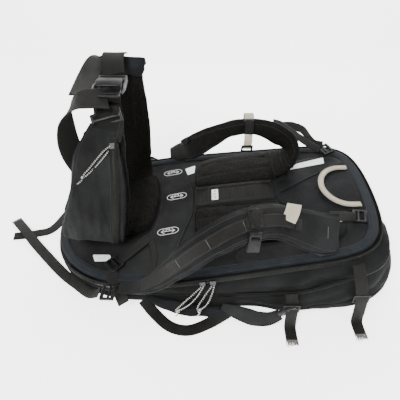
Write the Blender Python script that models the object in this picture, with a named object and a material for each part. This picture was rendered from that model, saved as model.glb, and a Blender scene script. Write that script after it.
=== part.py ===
"""A large travel backpack lying on its front with its harness side up, in metres, +Z up.

+X runs along the pack towards its top, +Y to its left side, and the origin is the middle of the
flat face that the pack rests on. The near side is -Y and the far side is +Y.
"""

import math

import bmesh
import bpy
from mathutils import Matrix, Vector

GAP = 0.0004
LIFT = 0.0006

# The harness panel is a plane that rises towards the pack's top.
PANEL_MIDDLE = 0.110
PANEL_RISE = 0.15
SPLIT_MIDDLE = 0.052
SPLIT_RISE = 0.085
PANEL_THICKNESS = 0.007
SHEET_THICKNESS = 0.0015
STAY_THICKNESS = 0.003
STAY_WIDTH = 0.025

SPINE_HEIGHT = 0.0095

WEB = 0.025
WEB_THICKNESS = 0.002
BELT = 0.050
CORD = 0.0026

# Half of the panel's outline, from the middle of its lower end to the middle of its upper end.
HALF_OUTLINE = [
    (-0.412, 0.0),
    (-0.400, 0.070),
    (-0.366, 0.125),
    (-0.315, 0.168),
    (-0.245, 0.196),
    (-0.150, 0.206),
    (-0.020, 0.202),
    (0.130, 0.192),
    (0.240, 0.182),
    (0.300, 0.156),
    (0.328, 0.100),
    (0.336, 0.0),
]

# Where the shoulder straps and the hip wings turn.
NEAR_STRAP_TOP = Vector((0.250, -0.170, 0.160))
NEAR_STRAP_FOOT = Vector((-0.236, -0.214, 0.080))
FAR_STRAP_TOP = Vector((0.166, 0.118, 0.146))
FAR_STRAP_FOOT = Vector((-0.182, 0.224, 0.078))
NEAR_WING_Y = -0.078
NEAR_WING_HINGE_Y = -0.100
FAR_WING_Y = 0.160
HAUL_HINGE_X = 0.304


def panel_z(x):
    return PANEL_MIDDLE + PANEL_RISE * x


def split_z(x):
    return SPLIT_MIDDLE + SPLIT_RISE * x


def clear_scene():
    for obj in list(bpy.data.objects):
        bpy.data.objects.remove(obj, do_unlink=True)


def material(name, colour, roughness=0.85, metallic=0.0):
    made = bpy.data.materials.get(name)
    if made:
        return made
    made = bpy.data.materials.new(name)
    made.use_nodes = True
    shader = made.node_tree.nodes["Principled BSDF"]
    shader.inputs["Base Color"].default_value = (*colour, 1.0)
    shader.inputs["Roughness"].default_value = roughness
    shader.inputs["Metallic"].default_value = metallic
    made.diffuse_color = (*colour, 1.0)
    return made


def shell_fabric():
    return material("shell_fabric", (0.022, 0.024, 0.028), 0.80)


def strap_fabric():
    return material("strap_fabric", (0.036, 0.041, 0.048), 0.85)


def mesh_fabric():
    return material("spacer_mesh", (0.016, 0.015, 0.013), 0.95)


def webbing():
    return material("black_webbing", (0.020, 0.020, 0.018), 0.75)


def tan_webbing():
    return material("tan_webbing", (0.56, 0.50, 0.38), 0.85)


def binding_tape():
    return material("binding_tape", (0.035, 0.050, 0.065), 0.85)


def plastic():
    return material("black_plastic", (0.015, 0.015, 0.016), 0.40)


def zip_tape():
    return material("zip_tape", (0.026, 0.025, 0.018), 0.60)


def reflective():
    return material("reflective_patch", (0.80, 0.80, 0.78), 0.45)


def flecked_cord():
    return material("flecked_cord", (0.20, 0.20, 0.19), 0.85)


def mesh_object(name, mesh_data, surface, smooth=False):
    """Closes a bmesh into an object of that name, with its faces pointing out."""
    bmesh.ops.recalc_face_normals(mesh_data, faces=mesh_data.faces)
    mesh = bpy.data.meshes.new(name)
    mesh_data.to_mesh(mesh)
    mesh_data.free()
    mesh.materials.append(surface)
    if smooth:
        mesh.shade_smooth()
        mesh.set_sharp_from_angle(angle=math.radians(40))
    obj = bpy.data.objects.new(name, mesh)
    bpy.context.collection.objects.link(obj)
    return obj


def pivot(name, place, children):
    """An empty on a joint's axis, which carries the pieces that turn or slide with it."""
    empty = bpy.data.objects.new(name, None)
    empty.location = place
    empty.empty_display_size = 0.03
    bpy.context.collection.objects.link(empty)
    bpy.context.view_layer.update()
    for child in children:
        child.parent = empty
        child.matrix_parent_inverse = empty.matrix_world.inverted()
    bpy.context.view_layer.update()
    return empty


def catmull(a, b, c, d, t):
    return 0.5 * (2 * b + (c - a) * t + (2 * a - 5 * b + 4 * c - d) * t**2 + (3 * b - a - 3 * c + d) * t**3)


def smooth_path(points, spans, closed=False):
    """Points on one smooth curve through the given ones, with so many steps between each two."""
    at = [Vector(p) for p in points]
    count = len(at)
    made = []
    for i in range(count if closed else count - 1):
        if closed:
            four = [at[(i + k) % count] for k in (-1, 0, 1, 2)]
        else:
            four = [at[max(0, min(count - 1, i + k))] for k in (-1, 0, 1, 2)]
        made += [catmull(*four, step / spans) for step in range(spans)]
    if not closed:
        made.append(at[-1])
    return made


def between(values, share):
    """The value at a share from 0 to 1 along a list of evenly spread values."""
    place = share * (len(values) - 1)
    low = min(int(place), len(values) - 2)
    return values[low] + (values[low + 1] - values[low]) * (place - low)


TAPE = [(-0.5, -0.5), (0.5, -0.5), (0.5, 0.5), (-0.5, 0.5)]
CUSHION = [(-0.5, -0.22), (-0.38, -0.5), (0.38, -0.5), (0.5, -0.22), (0.5, 0.22), (0.38, 0.5), (-0.38, 0.5), (-0.5, 0.22)]


def rings_object(name, rings, surface, smooth=False):
    """A closed skin over rings of equal point count, capped at both ends."""
    made = bmesh.new()
    loops = [[made.verts.new(p) for p in ring] for ring in rings]
    count = len(loops[0])
    for low, high in zip(loops, loops[1:]):
        for i in range(count):
            made.faces.new((low[i], low[(i + 1) % count], high[(i + 1) % count], high[i]))
    made.faces.new(loops[0])
    made.faces.new(loops[-1])
    return mesh_object(name, made, surface, smooth)


def stations(points, sides, spans=3):
    """(place, across, along, up) at steps along a strap, where sides hint at the direction across it."""
    path = smooth_path(points, spans)
    hints = [Vector(s) for s in sides]
    made = []
    for i, place in enumerate(path):
        along = (path[min(i + 1, len(path) - 1)] - path[max(i - 1, 0)]).normalized()
        across = between(hints, i / (len(path) - 1))
        across = (across - along * across.dot(along)).normalized()
        made.append((place, across, along, across.cross(along).normalized()))
    return made


def sweep(name, points, sides, widths, thicknesses, surface, section=TAPE, spans=3, raised=(0.0, 0.0)):
    """A strap or pad: a section carried along a smooth path.

    widths, thicknesses and raised, the middle's distance along the section's own normal, are spread
    evenly over the path.
    """
    rings = []
    frames = stations(points, sides, spans)
    for i, (place, across, _, up) in enumerate(frames):
        share = i / (len(frames) - 1)
        width = between(widths, share)
        thick = between(thicknesses, share)
        middle = place + up * between(raised, share)
        rings.append([middle + across * (u * width) + up * (v * thick) for u, v in section])
    return rings_object(name, rings, surface, section is not TAPE)


def loop_sweep(name, path, width, thickness, surface):
    """A tape that follows a closed path lying in a level or sloping plane, with its width upright."""
    count = len(path)
    made = bmesh.new()
    rings = []
    for i, centre in enumerate(path):
        along = (path[(i + 1) % count] - path[i - 1]).normalized()
        out = along.cross(Vector((0, 0, 1))).normalized()
        up = Vector((0, 0, 1))
        rings.append([made.verts.new(centre + out * (v * thickness) + up * (u * width)) for u, v in TAPE])
    for i in range(count):
        low, high = rings[i], rings[(i + 1) % count]
        for k in range(4):
            made.faces.new((low[k], low[(k + 1) % 4], high[(k + 1) % 4], high[k]))
    return mesh_object(name, made, surface)


def panel_outline(offset=0.0, spans=2):
    """The panel's outline as level points, moved out by the offset."""
    far = [Vector((x, y, 0)) for x, y in HALF_OUTLINE]
    near = [Vector((x, -y, 0)) for x, y in HALF_OUTLINE[1:-1]]
    path = smooth_path(far + near[::-1], spans, closed=True)
    moved = []
    for i, p in enumerate(path):
        along = (path[(i + 1) % len(path)] - path[i - 1]).normalized()
        out = Vector((along.y, -along.x, 0))
        out = out if out.dot(p + Vector((0.04, 0, 0))) > 0 else -out
        moved.append(p + out * offset)
    return moved


def at_height(outline, height):
    """Sets each point's z from a function of its x."""
    return [Vector((p.x, p.y, height(p.x))) for p in outline]


def rounded(corners, radius, steps=3):
    """A polygon with its corners rounded."""
    count = len(corners)
    made = []
    for i in range(count):
        here = Vector((*corners[i], 0))
        to_last = Vector((*corners[i - 1], 0)) - here
        to_next = Vector((*corners[(i + 1) % count], 0)) - here
        reach = min(radius, 0.45 * to_last.length, 0.45 * to_next.length)
        start = here + to_last.normalized() * reach
        end = here + to_next.normalized() * reach
        for step in range(steps + 1):
            t = step / steps
            made.append(start * (1 - t) ** 2 + here * (2 * t * (1 - t)) + end * t**2)
    return made


def shrunk(outline, inset):
    """A level outline drawn in towards its middle by about the inset."""
    middle = sum(outline, Vector((0, 0, 0))) / len(outline)
    return [middle + (p - middle) * (1 - inset / (p - middle).length) for p in outline]


def on_panel(name, corners, height, surface, radius=0.012, inset=0.0, lift=LIFT):
    """A flat patch or a crowned pad that lies on the harness panel."""
    outline = rounded(corners, radius)
    rings = [at_height(outline, lambda x: panel_z(x) + lift)]
    if inset:
        rings.append(at_height(outline, lambda x: panel_z(x) + lift + 0.55 * height))
    rings.append(at_height(shrunk(outline, inset), lambda x: panel_z(x) + lift + height))
    return rings_object(name, rings, surface)


def blocks(name, xs, ys, layers, surface, place, turn=None):
    """Moulded hardware out of a grid of blocks.

    xs and ys are the grid's lines. layers is a list of (bottom, top, rows), where each row is a string
    along x with # for material, and the rows run along y. The layers stand on each other.
    """
    zs = [layers[0][0]] + [top for _, top, _ in layers]
    solid = {
        (i, j, k)
        for k, (_, _, rows) in enumerate(layers)
        for j, row in enumerate(rows)
        for i, mark in enumerate(row)
        if mark == "#"
    }
    made = bmesh.new()
    corners = {}

    def corner(i, j, k):
        if (i, j, k) not in corners:
            corners[i, j, k] = made.verts.new((xs[i], ys[j], zs[k]))
        return corners[i, j, k]

    for i, j, k in sorted(solid):
        for axis in range(3):
            for side in (0, 1):
                step = [0, 0, 0]
                step[axis] = 2 * side - 1
                if (i + step[0], j + step[1], k + step[2]) in solid:
                    continue
                square = []
                for a, b in ((0, 0), (1, 0), (1, 1), (0, 1)):
                    at = [i, j, k]
                    at[axis] += side
                    at[(axis + 1) % 3] += a
                    at[(axis + 2) % 3] += b
                    square.append(corner(*at))
                made.faces.new(square)
    obj = mesh_object(name, made, surface)
    matrix = Matrix.Translation(place) @ (turn.to_4x4() if turn else Matrix())
    obj.data.transform(matrix)
    return obj


def facing(along, up):
    """A rotation whose x runs along the first direction and whose z is near the second."""
    x = Vector(along).normalized()
    y = Vector(up).cross(x).normalized()
    return Matrix((x, y, x.cross(y))).transposed()


def cord(name, points, surface, spans=3):
    """A round cord along a smooth path."""
    data = bpy.data.curves.new(name, "CURVE")
    data.dimensions = "3D"
    data.bevel_depth = CORD / 2
    data.bevel_resolution = 2
    data.use_fill_caps = True
    path = smooth_path(points, spans)
    spline = data.splines.new("POLY")
    spline.points.add(len(path) - 1)
    for point, p in zip(spline.points, path):
        point.co = (*p, 1.0)
    data.materials.append(surface)
    obj = bpy.data.objects.new(name, data)
    bpy.context.collection.objects.link(obj)
    return obj


# The bag: two compartments, with the frame between them and the harness panel.


def swollen(offset, share):
    """The panel's outline moved out, and swollen towards the pack's top as the filled bag is."""
    made = []
    for p in panel_outline(offset):
        rise = max(0.0, min(1.0, (p.x + 0.20) / 0.42))
        wider = 1 + 0.26 * share * rise * rise * (3 - 2 * rise)
        made.append(Vector((p.x + 0.042 * share * max(0, p.x / 0.33) ** 2, p.y * wider, 0)))
    return made


def bag():
    under_panel = PANEL_THICKNESS + SHEET_THICKNESS + STAY_THICKNESS + 4 * GAP
    main_rings = [
        at_height(swollen(-0.008, 0.70), lambda x: split_z(x) + GAP),
        at_height(swollen(0.004, 0.52), lambda x: 0.65 * split_z(x) + 0.35 * panel_z(x)),
        at_height(swollen(0.003, 0.16), lambda x: 0.25 * split_z(x) + 0.75 * panel_z(x) - 0.004),
        at_height(panel_outline(-0.007), lambda x: panel_z(x) - under_panel),
    ]
    rings_object("bag_main", main_rings, shell_fabric(), True)
    front_rings = [
        at_height(swollen(-0.030, 0.8), lambda x: 0.0),
        at_height(swollen(-0.002, 1.0), lambda x: 0.28 * split_z(x)),
        at_height(swollen(0.002, 0.95), lambda x: 0.62 * split_z(x)),
        at_height(swollen(-0.009, 0.70), lambda x: split_z(x)),
    ]
    rings_object("bag_front_compartment", front_rings, shell_fabric(), True)


def frame():
    sheet_top = PANEL_THICKNESS + GAP
    outline = panel_outline(-0.022)
    rings_object(
        "frame_sheet",
        [
            at_height(outline, lambda x: panel_z(x) - sheet_top - SHEET_THICKNESS),
            at_height(outline, lambda x: panel_z(x) - sheet_top),
        ],
        material("frame_sheet", (0.05, 0.05, 0.05), 0.5),
    )
    stay_top = sheet_top + SHEET_THICKNESS + GAP
    for name, y in (("stay_near", -0.06), ("stay_far", 0.06)):
        corners = [(-0.34, y - STAY_WIDTH / 2), (0.29, y - STAY_WIDTH / 2), (0.29, y + STAY_WIDTH / 2), (-0.34, y + STAY_WIDTH / 2)]
        bar = [Vector((*c, 0)) for c in corners]
        rings_object(
            name,
            [
                at_height(bar, lambda x: panel_z(x) - stay_top - STAY_THICKNESS),
                at_height(bar, lambda x: panel_z(x) - stay_top),
            ],
            material("stay_aluminium", (0.75, 0.75, 0.76), 0.35, 1.0),
        )


def panel():
    outline = panel_outline(-0.0065)
    rings_object(
        "harness_panel",
        [at_height(outline, lambda x: panel_z(x) - PANEL_THICKNESS), at_height(outline, panel_z)],
        shell_fabric(),
    )
    edge = panel_outline(-0.0035)
    loop_sweep("panel_binding", at_height(edge, lambda x: panel_z(x) - 0.0015), 0.009, 0.005, binding_tape())


def main_zip():
    """The coil zip runs round the panel's edge from one lower corner, past the top, to the other."""
    path = [p for p in panel_outline(0.0058, spans=3) if p.x > -0.37]
    start = next(i for i in range(len(path)) if (path[i] - path[i - 1]).length > 0.06)
    path = path[start:] + path[:start]
    centres = at_height(path, lambda x: panel_z(x) - 0.007)
    sweep("main_zip", centres, [(0, 0, 1)] * 2, [0.012] * 2, [0.003] * 2, zip_tape(), spans=1)


# The pads on the panel.


def back_pads():
    corners = {
        "back_pad_far": [(-0.072, 0.067), (0.116, 0.068), (0.150, 0.084), (0.153, 0.160), (0.120, 0.178), (-0.040, 0.178), (-0.070, 0.148)],
        "back_pad_near": [(-0.070, -0.090), (-0.040, -0.122), (0.118, -0.126), (0.148, -0.104), (0.146, -0.030), (0.112, -0.012), (-0.072, -0.009)],
    }
    for name, outline in corners.items():
        on_panel(name, outline, 0.013, mesh_fabric(), 0.014, 0.006)
    on_panel(
        "spine_column",
        [(-0.073, -0.004), (0.120, -0.008), (0.120, 0.063), (-0.073, 0.062)],
        SPINE_HEIGHT,
        webbing(),
        0.006,
        0.003,
    )
    on_panel(
        "size_label",
        [(-0.032, 0.010), (-0.016, 0.010), (-0.016, 0.047), (-0.032, 0.047)],
        0.0012,
        reflective(),
        0.001,
        lift=SPINE_HEIGHT + 2 * LIFT,
    )
    on_panel(
        "lumbar_pad",
        [(-0.362, -0.052), (-0.205, -0.064), (-0.178, -0.052), (-0.167, 0.0), (-0.165, 0.060), (-0.180, 0.142), (-0.318, 0.142), (-0.362, 0.095)],
        0.018,
        mesh_fabric(),
        0.02,
        0.008,
    )
    on_panel(
        "torso_flap",
        [(-0.162, 0.170), (-0.160, 0.100), (-0.158, 0.050), (-0.160, -0.010), (-0.170, -0.066), (-0.170, -0.110), (-0.152, -0.176),
         (-0.122, -0.176), (-0.112, -0.120), (-0.098, -0.077), (-0.079, -0.020), (-0.079, 0.060), (-0.092, 0.112), (-0.108, 0.170)],
        0.0025,
        strap_fabric(),
        0.004,
    )


def patches():
    corners = {
        "reflector_bottom": [(-0.309, -0.117), (-0.267, -0.122), (-0.259, -0.140), (-0.300, -0.137)],
        "reflector_near": [(-0.092, -0.118), (-0.073, -0.118), (-0.073, -0.140), (-0.088, -0.140)],
        "reflector_far": [(-0.102, 0.150), (-0.074, 0.160), (-0.076, 0.130), (-0.095, 0.124)],
        "reflector_top_far": [(0.168, 0.098), (0.189, 0.118), (0.259, 0.131), (0.257, 0.108)],
        "reflector_top_near": [(0.238, -0.079), (0.257, -0.079), (0.252, -0.092), (0.240, -0.092)],
    }
    for name, outline in corners.items():
        on_panel(name, outline, 0.0008, reflective(), 0.001)


# The hip belt, closed, with its two wings standing.


WING_LINE = [
    (-0.296, NEAR_WING_Y, 0.094),
    (-0.292, -0.074, 0.140),
    (-0.276, -0.056, 0.205),
    (-0.271, -0.016, 0.268),
    (-0.258, 0.036, 0.318),
]
WING_SIDES = [(1, 0, 0), (1, 0, 0), (1, 0, 0), (1, 0.15, 0.12), (1, 0.2, 0.2)]
WING_WIDTHS = [0.136, 0.146, 0.132, 0.112, 0.070]
WING_THICK = [0.016, 0.018, 0.018, 0.016, 0.010]
POCKET_LINE = [(-0.296, NEAR_WING_Y, 0.110), *WING_LINE[1:4], (-0.262, 0.026, 0.306)]
POCKET_WIDTHS = [0.136, 0.142, 0.126, 0.100, 0.060]
POCKET_THICK = [0.022, 0.034, 0.036, 0.026, 0.008]
POCKET_AWAY = [0.027, 0.030, 0.031, 0.025, 0.015]


def on_pocket(share, u, above):
    """A point on the pocket's outer face: share goes up it, u across it from -0.5 to 0.5."""
    frames = stations(POCKET_LINE, WING_SIDES)
    place, across, up = (between([f[k] for f in frames], share) for k in (0, 1, 3))
    outside = between(POCKET_AWAY, share) + 0.5 * between(POCKET_THICK, share) + above
    return place + across * (u * between(POCKET_WIDTHS, share)) + up * outside


def near_hip_wing():
    pad = sweep("near_hip_pad", WING_LINE, WING_SIDES, WING_WIDTHS, WING_THICK, mesh_fabric(), CUSHION)
    pocket = sweep(
        "hip_pocket",
        POCKET_LINE,
        WING_SIDES,
        POCKET_WIDTHS,
        POCKET_THICK,
        strap_fabric(),
        CUSHION,
        raised=POCKET_AWAY,
    )
    glide = blocks(
        "hip_tri_glide",
        [-0.033, -0.0275, 0.0275, 0.033],
        [-0.015, -0.010, -0.0025, 0.0025, 0.010, 0.015],
        [(-0.0025, 0.0025, ["###", "# #", "###", "# #", "###"])],
        plastic(),
        (-0.258, 0.054, 0.342),
        facing((1, 0.2, 0.2), (0, -0.75, 0.66)),
    )
    belt = sweep(
        "near_hip_webbing",
        [(-0.2535, 0.0700, 0.3622), (-0.2532, 0.0705, 0.3660), (-0.2530, 0.0700, 0.3698)],
        [(1, 0.16, 0.16), (1, 0.12, 0.08), (1, 0.08, 0)],
        [BELT] * 2,
        [WEB_THICKNESS] * 2,
        webbing(),
    )
    tail = sweep(
        "hip_belt_tail",
        [(-0.284, 0.040, 0.382), (-0.312, 0.032, 0.384), (-0.338, 0.026, 0.352), (-0.353, 0.024, 0.300), (-0.357, 0.026, 0.250), (-0.350, 0.030, 0.210)],
        [(-0.1, 0.8, 0.3), (0, 0.9, 0.2), (0.1, 1, 0.1), (0.1, 1, 0), (0.1, 1, 0)],
        [BELT] * 2,
        [WEB_THICKNESS] * 2,
        webbing(),
    )
    zip_line = [on_pocket(0.08 + 0.08 * step, 0.33, 0.0032) for step in range(11)]
    tape = sweep("hip_pocket_zip", zip_line, WING_SIDES, [0.009] * 2, [0.002] * 2, zip_tape(), spans=1)
    return [pad, pocket, glide, belt, tail, tape]


def far_hip_wing():
    line = [
        (-0.275, FAR_WING_Y, 0.100),
        (-0.266, 0.180, 0.150),
        (-0.260, 0.184, 0.220),
        (-0.258, 0.186, 0.290),
        (-0.250, 0.194, 0.350),
        (-0.244, 0.200, 0.384),
    ]
    pad = sweep(
        "far_hip_pad",
        line,
        [(1, 0, 0)] * 2,
        [0.140, 0.152, 0.148, 0.142, 0.118, 0.100],
        [0.016, 0.020, 0.020, 0.020, 0.014, 0.010],
        mesh_fabric(),
        CUSHION,
        2,
    )
    belt = sweep(
        "far_hip_webbing",
        [(-0.250, 0.204, 0.3970), (-0.254, 0.188, 0.4060), (-0.256, 0.164, 0.3980), (-0.252, 0.1400, 0.3790)],
        [(1, 0, 0)] * 2,
        [BELT] * 2,
        [WEB_THICKNESS] * 2,
        webbing(),
    )
    female = blocks(
        "hip_buckle_female",
        [-0.031, -0.027, 0.027, 0.031],
        [0.0, 0.026, 0.036, 0.041, 0.046],
        [
            (-0.0095, -0.0065, ["###", "###", "###", "###"]),
            (-0.0065, 0.0045, ["# #", "###", "# #", "###"]),
        ],
        plastic(),
        (-0.252, 0.090, 0.375),
    )
    return [pad, belt, female]


def hip_buckle_male():
    return blocks(
        "hip_buckle_male",
        [-0.025, -0.018, -0.004, 0.004, 0.018, 0.025],
        [-0.040, -0.035, -0.028, -0.022, -0.008, 0.016],
        [(-0.0020, 0.0020, ["#####", "#   #", "#####", "#####", "# # #"])],
        plastic(),
        (-0.252, 0.090, 0.375),
    )


# The shoulder straps, which swing about the line through their two ends.


def near_shoulder_strap():
    line = [
        (0.252, -0.136, 0.180),
        (0.212, -0.146, 0.186),
        (0.158, -0.146, 0.202),
        (0.083, -0.154, 0.240),
        (0.011, -0.196, 0.266),
        (-0.044, -0.226, 0.256),
        (-0.090, -0.238, 0.215),
        (-0.140, -0.236, 0.148),
        (-0.188, -0.228, 0.104),
        (-0.230, -0.216, 0.084),
    ]
    sides = [
        (0.0, 0.84, 0.52),
        (-0.1, 0.84, 0.52),
        (-0.2, 0.84, 0.48),
        (-0.1, 0.85, 0.52),
        (-0.3, 0.75, 0.5),
        (-0.3, 0.6, 0.6),
        (-0.3, 0.5, 0.6),
        (0.0, 0.8, 0.5),
        (0.2, 0.9, 0.2),
        (0.2, 0.95, 0.1),
    ]
    widths = [0.084, 0.100, 0.098, 0.080, 0.070, 0.064, 0.056, 0.044, 0.030, WEB]
    thick = [0.012, 0.016, 0.016, 0.016, 0.016, 0.015, 0.014, 0.010, 0.004, WEB_THICKNESS]
    pad = sweep("near_strap_pad", line, sides, widths, thick, strap_fabric(), CUSHION, 3)
    top_line = [Vector(p) for p in line[1:8]]
    strip = sweep(
        "near_strap_webbing",
        top_line,
        sides[1:8],
        [WEB] * 2,
        [0.0016] * 2,
        webbing(),
        spans=3,
        raised=[0.0114] * 2,
    )
    return pad, strip


def far_shoulder_strap():
    line = [
        (0.164, 0.122, 0.152),
        (0.166, 0.122, 0.186),
        (0.143, 0.124, 0.218),
        (0.104, 0.124, 0.244),
        (0.055, 0.122, 0.255),
        (0.004, 0.120, 0.246),
        (-0.040, 0.122, 0.220),
        (-0.092, 0.142, 0.170),
        (-0.140, 0.186, 0.118),
        (-0.176, 0.217, 0.084),
    ]
    sides = [
        (0, -1, 0),
        (0.3, -0.8, 0.4),
        (0.4, -0.5, 0.8),
        (0.2, -0.3, 0.9),
        (0, -0.25, 0.97),
        (-0.3, -0.2, 0.9),
        (-0.6, -0.1, 0.7),
        (-0.8, -0.3, 0.3),
        (-0.6, -0.6, 0.2),
        (-0.6, -0.7, 0.1),
    ]
    widths = [0.034, 0.074, 0.080, 0.072, 0.064, 0.062, 0.058, 0.046, 0.030, WEB]
    thick = [0.010, 0.015, 0.016, 0.016, 0.016, 0.016, 0.014, 0.010, 0.004, WEB_THICKNESS]
    return sweep("far_strap_pad", line, sides, widths, thick, mesh_fabric(), CUSHION, 3)


# Webbing, ladder locks and small hardware.


def ladder_lock(name, place, along, up=(0, 0, 1)):
    return blocks(
        name,
        [-0.016, -0.010, -0.0055, -0.0015, 0.008, 0.014],
        [-0.018, -0.0135, 0.0135, 0.018],
        [(-0.003, 0.003, ["#####", "# # #", "#####"])],
        plastic(),
        place,
        facing(along, up),
    )


def strap(name, points, sides, surface=None, width=WEB, spans=3):
    return sweep(name, points, sides, [width] * 2, [WEB_THICKNESS] * 2, surface or webbing(), spans=spans)


def haul_loop():
    """A webbing loop, held up a little from the panel, that lifts about its two sewn ends."""
    reach, half = 0.082, 0.072
    arc = [math.radians(a) for a in range(-90, 91, 15)]

    def bow(inset):
        tip = half - inset
        straight = 0.018
        arch = [Vector((-straight - (reach - straight - inset) * math.cos(a), tip * math.sin(a), 0)) for a in arc]
        return [Vector((0, -tip, 0)), *arch, Vector((0, tip, 0))]

    outline = bow(0.0) + bow(0.022)[::-1]
    tilt = 0.12

    def height(x):
        return -tilt * x

    place = Vector((HAUL_HINGE_X, 0.018, panel_z(HAUL_HINGE_X) + 0.0035))

    def ring(raise_by):
        return [place + Vector((p.x, p.y, PANEL_RISE * p.x + height(p.x) + raise_by)) for p in outline]

    made = bmesh.new()
    low = [made.verts.new(p) for p in ring(0.0)]
    high = [made.verts.new(p) for p in ring(0.0025)]
    count = len(outline)
    half_count = count // 2
    for loop in (low, high):
        for i in range(half_count - 1):
            made.faces.new((loop[i], loop[i + 1], loop[count - 2 - i], loop[count - 1 - i]))
    for i in range(count):
        made.faces.new((low[i], low[(i + 1) % count], high[(i + 1) % count], high[i]))
    return mesh_object("haul_loop", made, tan_webbing())


def load_lifters():
    far_lock = ladder_lock("lifter_lock_far", (0.270, 0.155, 0.1605), (1, 0.45, 0.15))
    near_lock = ladder_lock("lifter_lock_near", (0.290, -0.086, 0.1620), (1, -0.25, 0.15))
    strap("lifter_strap_far", [(0.200, 0.142, 0.2000), (0.223, 0.145, 0.1815), (0.246, 0.1470, 0.1660)], [(-0.3, 0.9, 0.1)] * 2, width=0.020)
    return far_lock, near_lock


def lower_straps():
    near_lock = ladder_lock("lower_lock_near", (-0.254, -0.224, 0.078), (-1, 0.1, -0.12))
    far_lock = ladder_lock("lower_lock_far", (-0.200, 0.236, 0.060), (-0.8, 0.5, -0.5), (0.2, 0.8, 0.6))
    strap(
        "strap_tail_near",
        [(-0.273, -0.222, 0.0755), (-0.298, -0.210, 0.050), (-0.340, -0.170, 0.020), (-0.394, -0.124, 0.0080), (-0.475, -0.045, 0.0080), (-0.520, 0.004, 0.0080), (-0.557, 0.044, 0.0022)],
        [(0.1, 0.9, 0.0), (0.5, 0.8, -0.1), (0.7, 0.7, 0), (0.7, 0.7, 0), (0.7, 0.6, 0), (0.7, 0.6, 0)],
    )
    strap(
        "strap_tail_far",
        [(-0.216, 0.246, 0.044), (-0.236, 0.256, 0.022), (-0.272, 0.258, 0.0060), (-0.340, 0.210, 0.0024), (-0.410, 0.110, 0.0022), (-0.450, 0.020, 0.0022), (-0.490, 0.000, 0.0022), (-0.548, -0.010, 0.0022)],
        [(0.5, 0.85, 0), (0.2, 1, 0), (-0.3, 0.95, 0), (-0.7, 0.7, 0), (-0.86, 0.5, 0), (-0.68, 0.72, 0), (-0.3, 0.95, 0), (-0.17, 0.98, 0)],
    )
    strap(
        "hip_stabiliser_near",
        [(-0.188, -0.092, 0.0862), (-0.213, -0.118, 0.0824), (-0.236, -0.139, 0.0792)],
        [(0.7, -0.7, 0.105)] * 2,
    )
    lock = ladder_lock("hip_stabiliser_lock", (-0.252, -0.155, 0.0805), (-0.72, -0.68, -0.08))
    return near_lock, far_lock, lock


def side_straps():
    """Two compression straps cross the near side, with a tri-glide each, and their tails lie on the floor."""
    places = {
        "low": [(0.150, -0.2060, 0.122), (0.146, -0.2300, 0.092), (0.143, -0.2440, 0.062), (0.141, -0.2540, 0.030), (0.139, -0.2620, 0.0070), (0.134, -0.282, 0.0022), (0.130, -0.304, 0.0022)],
        "top": [(0.288, -0.1900, 0.138), (0.292, -0.2120, 0.108), (0.296, -0.2260, 0.076), (0.297, -0.2340, 0.038), (0.295, -0.2440, 0.0070), (0.290, -0.262, 0.0022), (0.283, -0.288, 0.0022)],
    }
    for name, points in places.items():
        strap(f"compression_strap_{name}", points, [(1, 0, 0)] * 2)
    for name, place in (("low", (0.1440, -0.2480, 0.070)), ("top", (0.296, -0.2310, 0.076))):
        blocks(
            f"tri_glide_{name}",
            [-0.017, -0.013, 0.013, 0.017],
            [-0.012, -0.008, -0.002, 0.002, 0.008, 0.012],
            [(-0.002, 0.002, ["###", "# #", "###", "# #", "###"])],
            plastic(),
            place,
            facing((1, 0, 0), (0, -1, 0.1)),
        )
    strap(
        "side_webbing_loop",
        [(-0.186, -0.212, 0.030), (-0.160, -0.234, 0.0060), (-0.126, -0.262, 0.0024), (-0.087, -0.271, 0.0024), (-0.046, -0.258, 0.0056), (0.000, -0.2420, 0.0300)],
        [(0.8, 0.6, 0), (0.7, 0.7, 0), (0.3, 0.9, 0), (-0.1, 0.95, 0), (-0.4, 0.9, 0.05), (-0.3, 0.6, 0.7)],
    )
    sweep(
        "side_wing",
        [(-0.020, -0.2330, 0.056), (0.040, -0.2440, 0.046), (0.105, -0.2480, 0.044)],
        [(0, -0.30, 1)] * 2,
        [0.016, 0.040, 0.030],
        [0.004] * 2,
        strap_fabric(),
        spans=3,
    )


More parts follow.
